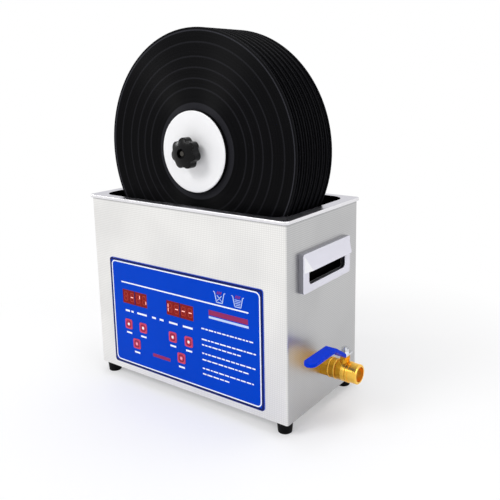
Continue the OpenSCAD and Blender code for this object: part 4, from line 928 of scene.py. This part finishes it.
# Height of each line of words and where it ends, then where all begin and how tall a stroke is
TEXT_LINES = ((108.8, 117), (94.4, 118), (86.9, 95), (75.5, 118), (66.9, 109), (55.0, 114), (47.4, 78))
TEXT_LEFT, TEXT_H = 33.0, 1.7
WORD_MIN, WORD_MAX, WORD_GAP, LAST_WORD = 3.0, 9.5, 1.5, 2.0
# Left and right end of the captions between the displays and the keys
CAPTIONS = ((-105.7, -97.2), (-94.3, -90.0), (-82.9, -64.4), (-54.4, -47.3), (-40.2, -33.3),
            (-23.2, -8.2), (1.2, 18.1))
CAPTION_Z, CAPTION_HALF = 104.4, 1.3
UPPER_KEYS_Z, LOWER_KEYS_Z = 85.0, 59.0
KEYS = {"key_temp_up": (-100.5, UPPER_KEYS_Z), "key_temp_down": (-72.5, UPPER_KEYS_Z),
        "key_heat": (-86.5, LOWER_KEYS_Z), "key_time_up": (-17.5, UPPER_KEYS_Z),
        "key_time_down": (10.5, UPPER_KEYS_Z), "key_run": (-3.5, LOWER_KEYS_Z)}
# A key's own caption: half its width, and its foot and top below the key's middle
KEY_CAPTION_HALF, KEY_CAPTION_FOOT, KEY_CAPTION_TOP = 5.2, 13.8, 11.4
edge = bmesh.new()
frame_line(edge, PANEL_X, PANEL_MID_Z, PANEL_W - EDGE_LESS, PANEL_H - EDGE_LESS, EDGE_CORNER, EDGE_LINE,
           thickness=EDGE_T)
ink_piece("panel_edge_print", edge, navy_print, "control_panel")
words = bmesh.new()
frame_line(words, PANEL_X, PANEL_MID_Z, PANEL_W - BORDER_LESS, PANEL_H - BORDER_LESS, BORDER_CORNER,
           BORDER_LINE)
bar(words, *RULE)
stroke_lengths = random.Random(7)
for z, right in TEXT_LINES:
    x = TEXT_LEFT
    while x < right - LAST_WORD:
        length = min(stroke_lengths.uniform(WORD_MIN, WORD_MAX), right - x)
        bar(words, x, x + length, z - TEXT_H / 2, z + TEXT_H / 2)
        x += length + WORD_GAP
for left, right in CAPTIONS:
    bar(words, left, right, CAPTION_Z - CAPTION_HALF, CAPTION_Z + CAPTION_HALF)
for x, z in KEYS.values():
    bar(words, x - KEY_CAPTION_HALF, x + KEY_CAPTION_HALF, z - KEY_CAPTION_FOOT, z - KEY_CAPTION_TOP)
ink_piece("panel_white_print", words, white_ink, "control_panel")
print("lines of text", len(TEXT_LINES), "captions", len(CAPTIONS) + len(KEYS))

# %% [markdown]
# Two small pictures show a basin, one empty and crossed out, the other with its liquid. Red marks
# above each stand for the load, and a red bar heads the notes.
# %% Basins and bars
# Middle of each basin and whether it is crossed out
BASINS = ((63.8, True), (92.3, False))
FOOT_Z = 148.6
# Strokes of a basin from its foot's middle: x and z at both ends, then the line's width
WALL, LIP, FLOOR = (7.4, 12.4, 4.6, 0.0, 1.1), (9.4, 13.3, 7.1, 12.3, 1.0), (-5.0, 0.0, 5.0, 0.0, 1.1)
CROSS, MARK, MARK_PITCH = (-3.6, 9.0, 3.6, 2.2, 0.9), (-1.0, 10.8, 1.0, 14.2, 1.2), 2.6
# The liquid: number of lines, height of the lowest, pitch, half its length, how that grows, half a line
LEVELS, LEVEL_Z, LEVEL_PITCH, LEVEL_HALF, LEVEL_GROWS, LEVEL_LINE = 4, 2.3, 2.1, 3.6, 0.45, 0.35
# Left, right, foot and top
NOTES_BAR, TIMER_BAR, PALE_BAR = (46, 107, 129.4, 136.0), (-56, -24, 48.5, 53.0), (46, 108, 124.9, 127.9)


def basin_stroke(bm, middle, line, side=1):
    """One stroke of a basin. A side of -1 mirrors it."""
    x0, z0, x1, z1, width = line
    stroke(bm, (middle + side * x0, FOOT_Z + z0), (middle + side * x1, FOOT_Z + z1), width)


pale, red = bmesh.new(), bmesh.new()
for middle, crossed in BASINS:
    for side in (-1, 1):
        basin_stroke(pale, middle, WALL, side)
        basin_stroke(pale, middle, LIP, side)
    basin_stroke(pale, middle, FLOOR)
    if crossed:
        for side in (-1, 1):
            basin_stroke(pale, middle, CROSS, side)
    else:
        for level in range(LEVELS):
            z = FOOT_Z + LEVEL_Z + LEVEL_PITCH * level
            half = LEVEL_HALF + LEVEL_GROWS * level
            bar(pale, middle - half, middle + half, z - LEVEL_LINE, z + LEVEL_LINE)
    for i in (-1, 0, 1):
        basin_stroke(red, middle + MARK_PITCH * i, MARK)
bar(red, *NOTES_BAR)
bar(pale, *PALE_BAR)
bar(red, *TIMER_BAR)
ink_piece("panel_pale_marks", pale, pale_ink, "control_panel")
ink_piece("panel_red_marks", red, red_ink, "control_panel")
print("basins", len(BASINS))

# %% [markdown]
# ## Digits
# A seven segment digit is a fixed set of bars behind red acrylic. Unlit bars show as slightly
# paler red, and the lit ones glow pink. They sit on the floor of the digit's shallow recess, and
# a dark seam parts the window into two digit pairs.
# %% Seven segments
DISPLAYS = {"temperature_display": -86.5, "timer_display": -3.5}
DISPLAY_Z = 124.5
WINDOW_Y, RECESS_FLOOR_Y = -84.7, -84.4
DIGIT_PITCH, DIGIT_W, DIGIT_H, BAR_W = 11.75, 6.4, 11.6, 1.25
# A bar's tip and its full width start this many half widths from its end, so neighbours never touch
TIP, FULL = 0.5, 1.5
SEAM_HALF_W, SEAM_HALF_H = 0.8, 9.6
# Both ends of each bar, in half widths and half heights of the digit
SEGMENTS = {"top": (-1, 1, 1, 1), "middle": (-1, 0, 1, 0), "bottom": (-1, -1, 1, -1),
            "upper_left": (-1, 0, -1, 1), "upper_right": (1, 0, 1, 1),
            "lower_left": (-1, -1, -1, 0), "lower_right": (1, -1, 1, 0)}
LIT = {"temperature_display": ((), ("middle",), ("upper_right",), ("lower_right",)),
       "timer_display": (("upper_left", "lower_left"), ("middle",), ("middle",), ("middle",))}


def segment_outline(x0, z0, x1, z1):
    """The six corners of a bar whose ends come to a point."""
    start, end = (Vector((x * DIGIT_W / 2, z * DIGIT_H / 2)) for x, z in ((x0, z0), (x1, z1)))
    along = (end - start).normalized() * BAR_W / 2
    across = Vector((-along.y, along.x))
    return [start + along * TIP, start + along * FULL + across, end - along * FULL + across,
            end - along * TIP, end - along * FULL - across, start + along * FULL - across]


for display, middle_x in DISPLAYS.items():
    dark, lit, seam = bmesh.new(), bmesh.new(), bmesh.new()
    for digit, glowing in enumerate(LIT[display]):
        cx = middle_x + (digit - (len(LIT[display]) - 1) / 2) * DIGIT_PITCH
        for label, ends in SEGMENTS.items():
            slab(lit if label in glowing else dark,
                 [(cx + p.x, DISPLAY_Z + p.y) for p in segment_outline(*ends)], RECESS_FLOOR_Y)
    bar(seam, middle_x - SEAM_HALF_W, middle_x + SEAM_HALF_W, DISPLAY_Z - SEAM_HALF_H,
        DISPLAY_Z + SEAM_HALF_H, WINDOW_Y)
    ink_piece(display + "_seam", seam, navy_print, display)
    ink_piece(display + "_unlit", dark, red_segment, display)
    ink_piece(display + "_lit", lit, lit_segment, display)
    print(display, "lit bars", sum(len(glowing) for glowing in LIT[display]))

# %% [markdown]
# ## Key faces
# Each key is a pink red frame round a darker dome with a pale dot in its middle. The marks ride
# on the keys, so they go in when a key is pressed.
# %% Domes and dots
KEY_FACE_Y = -85.5
DOME_W, DOME_H, DOME_CORNER, DOME_LINE = 9.6, 10.2, 3.6, 1.9
DOT_R = 1.9
for key, (x, z) in KEYS.items():
    dome, dot = bmesh.new(), bmesh.new()
    frame_line(dome, x, z, DOME_W, DOME_H, DOME_CORNER, DOME_LINE, KEY_FACE_Y)
    slab(dot, rounded_outline(x, z, 2 * DOT_R, 2 * DOT_R, DOT_R), KEY_FACE_Y)
    ink_piece(key + "_dome", dome, crimson_key, key)
    ink_piece(key + "_dot", dot, white_ink if z == UPPER_KEYS_Z else pale_pink_ink, key)
print("keys", len(KEYS))
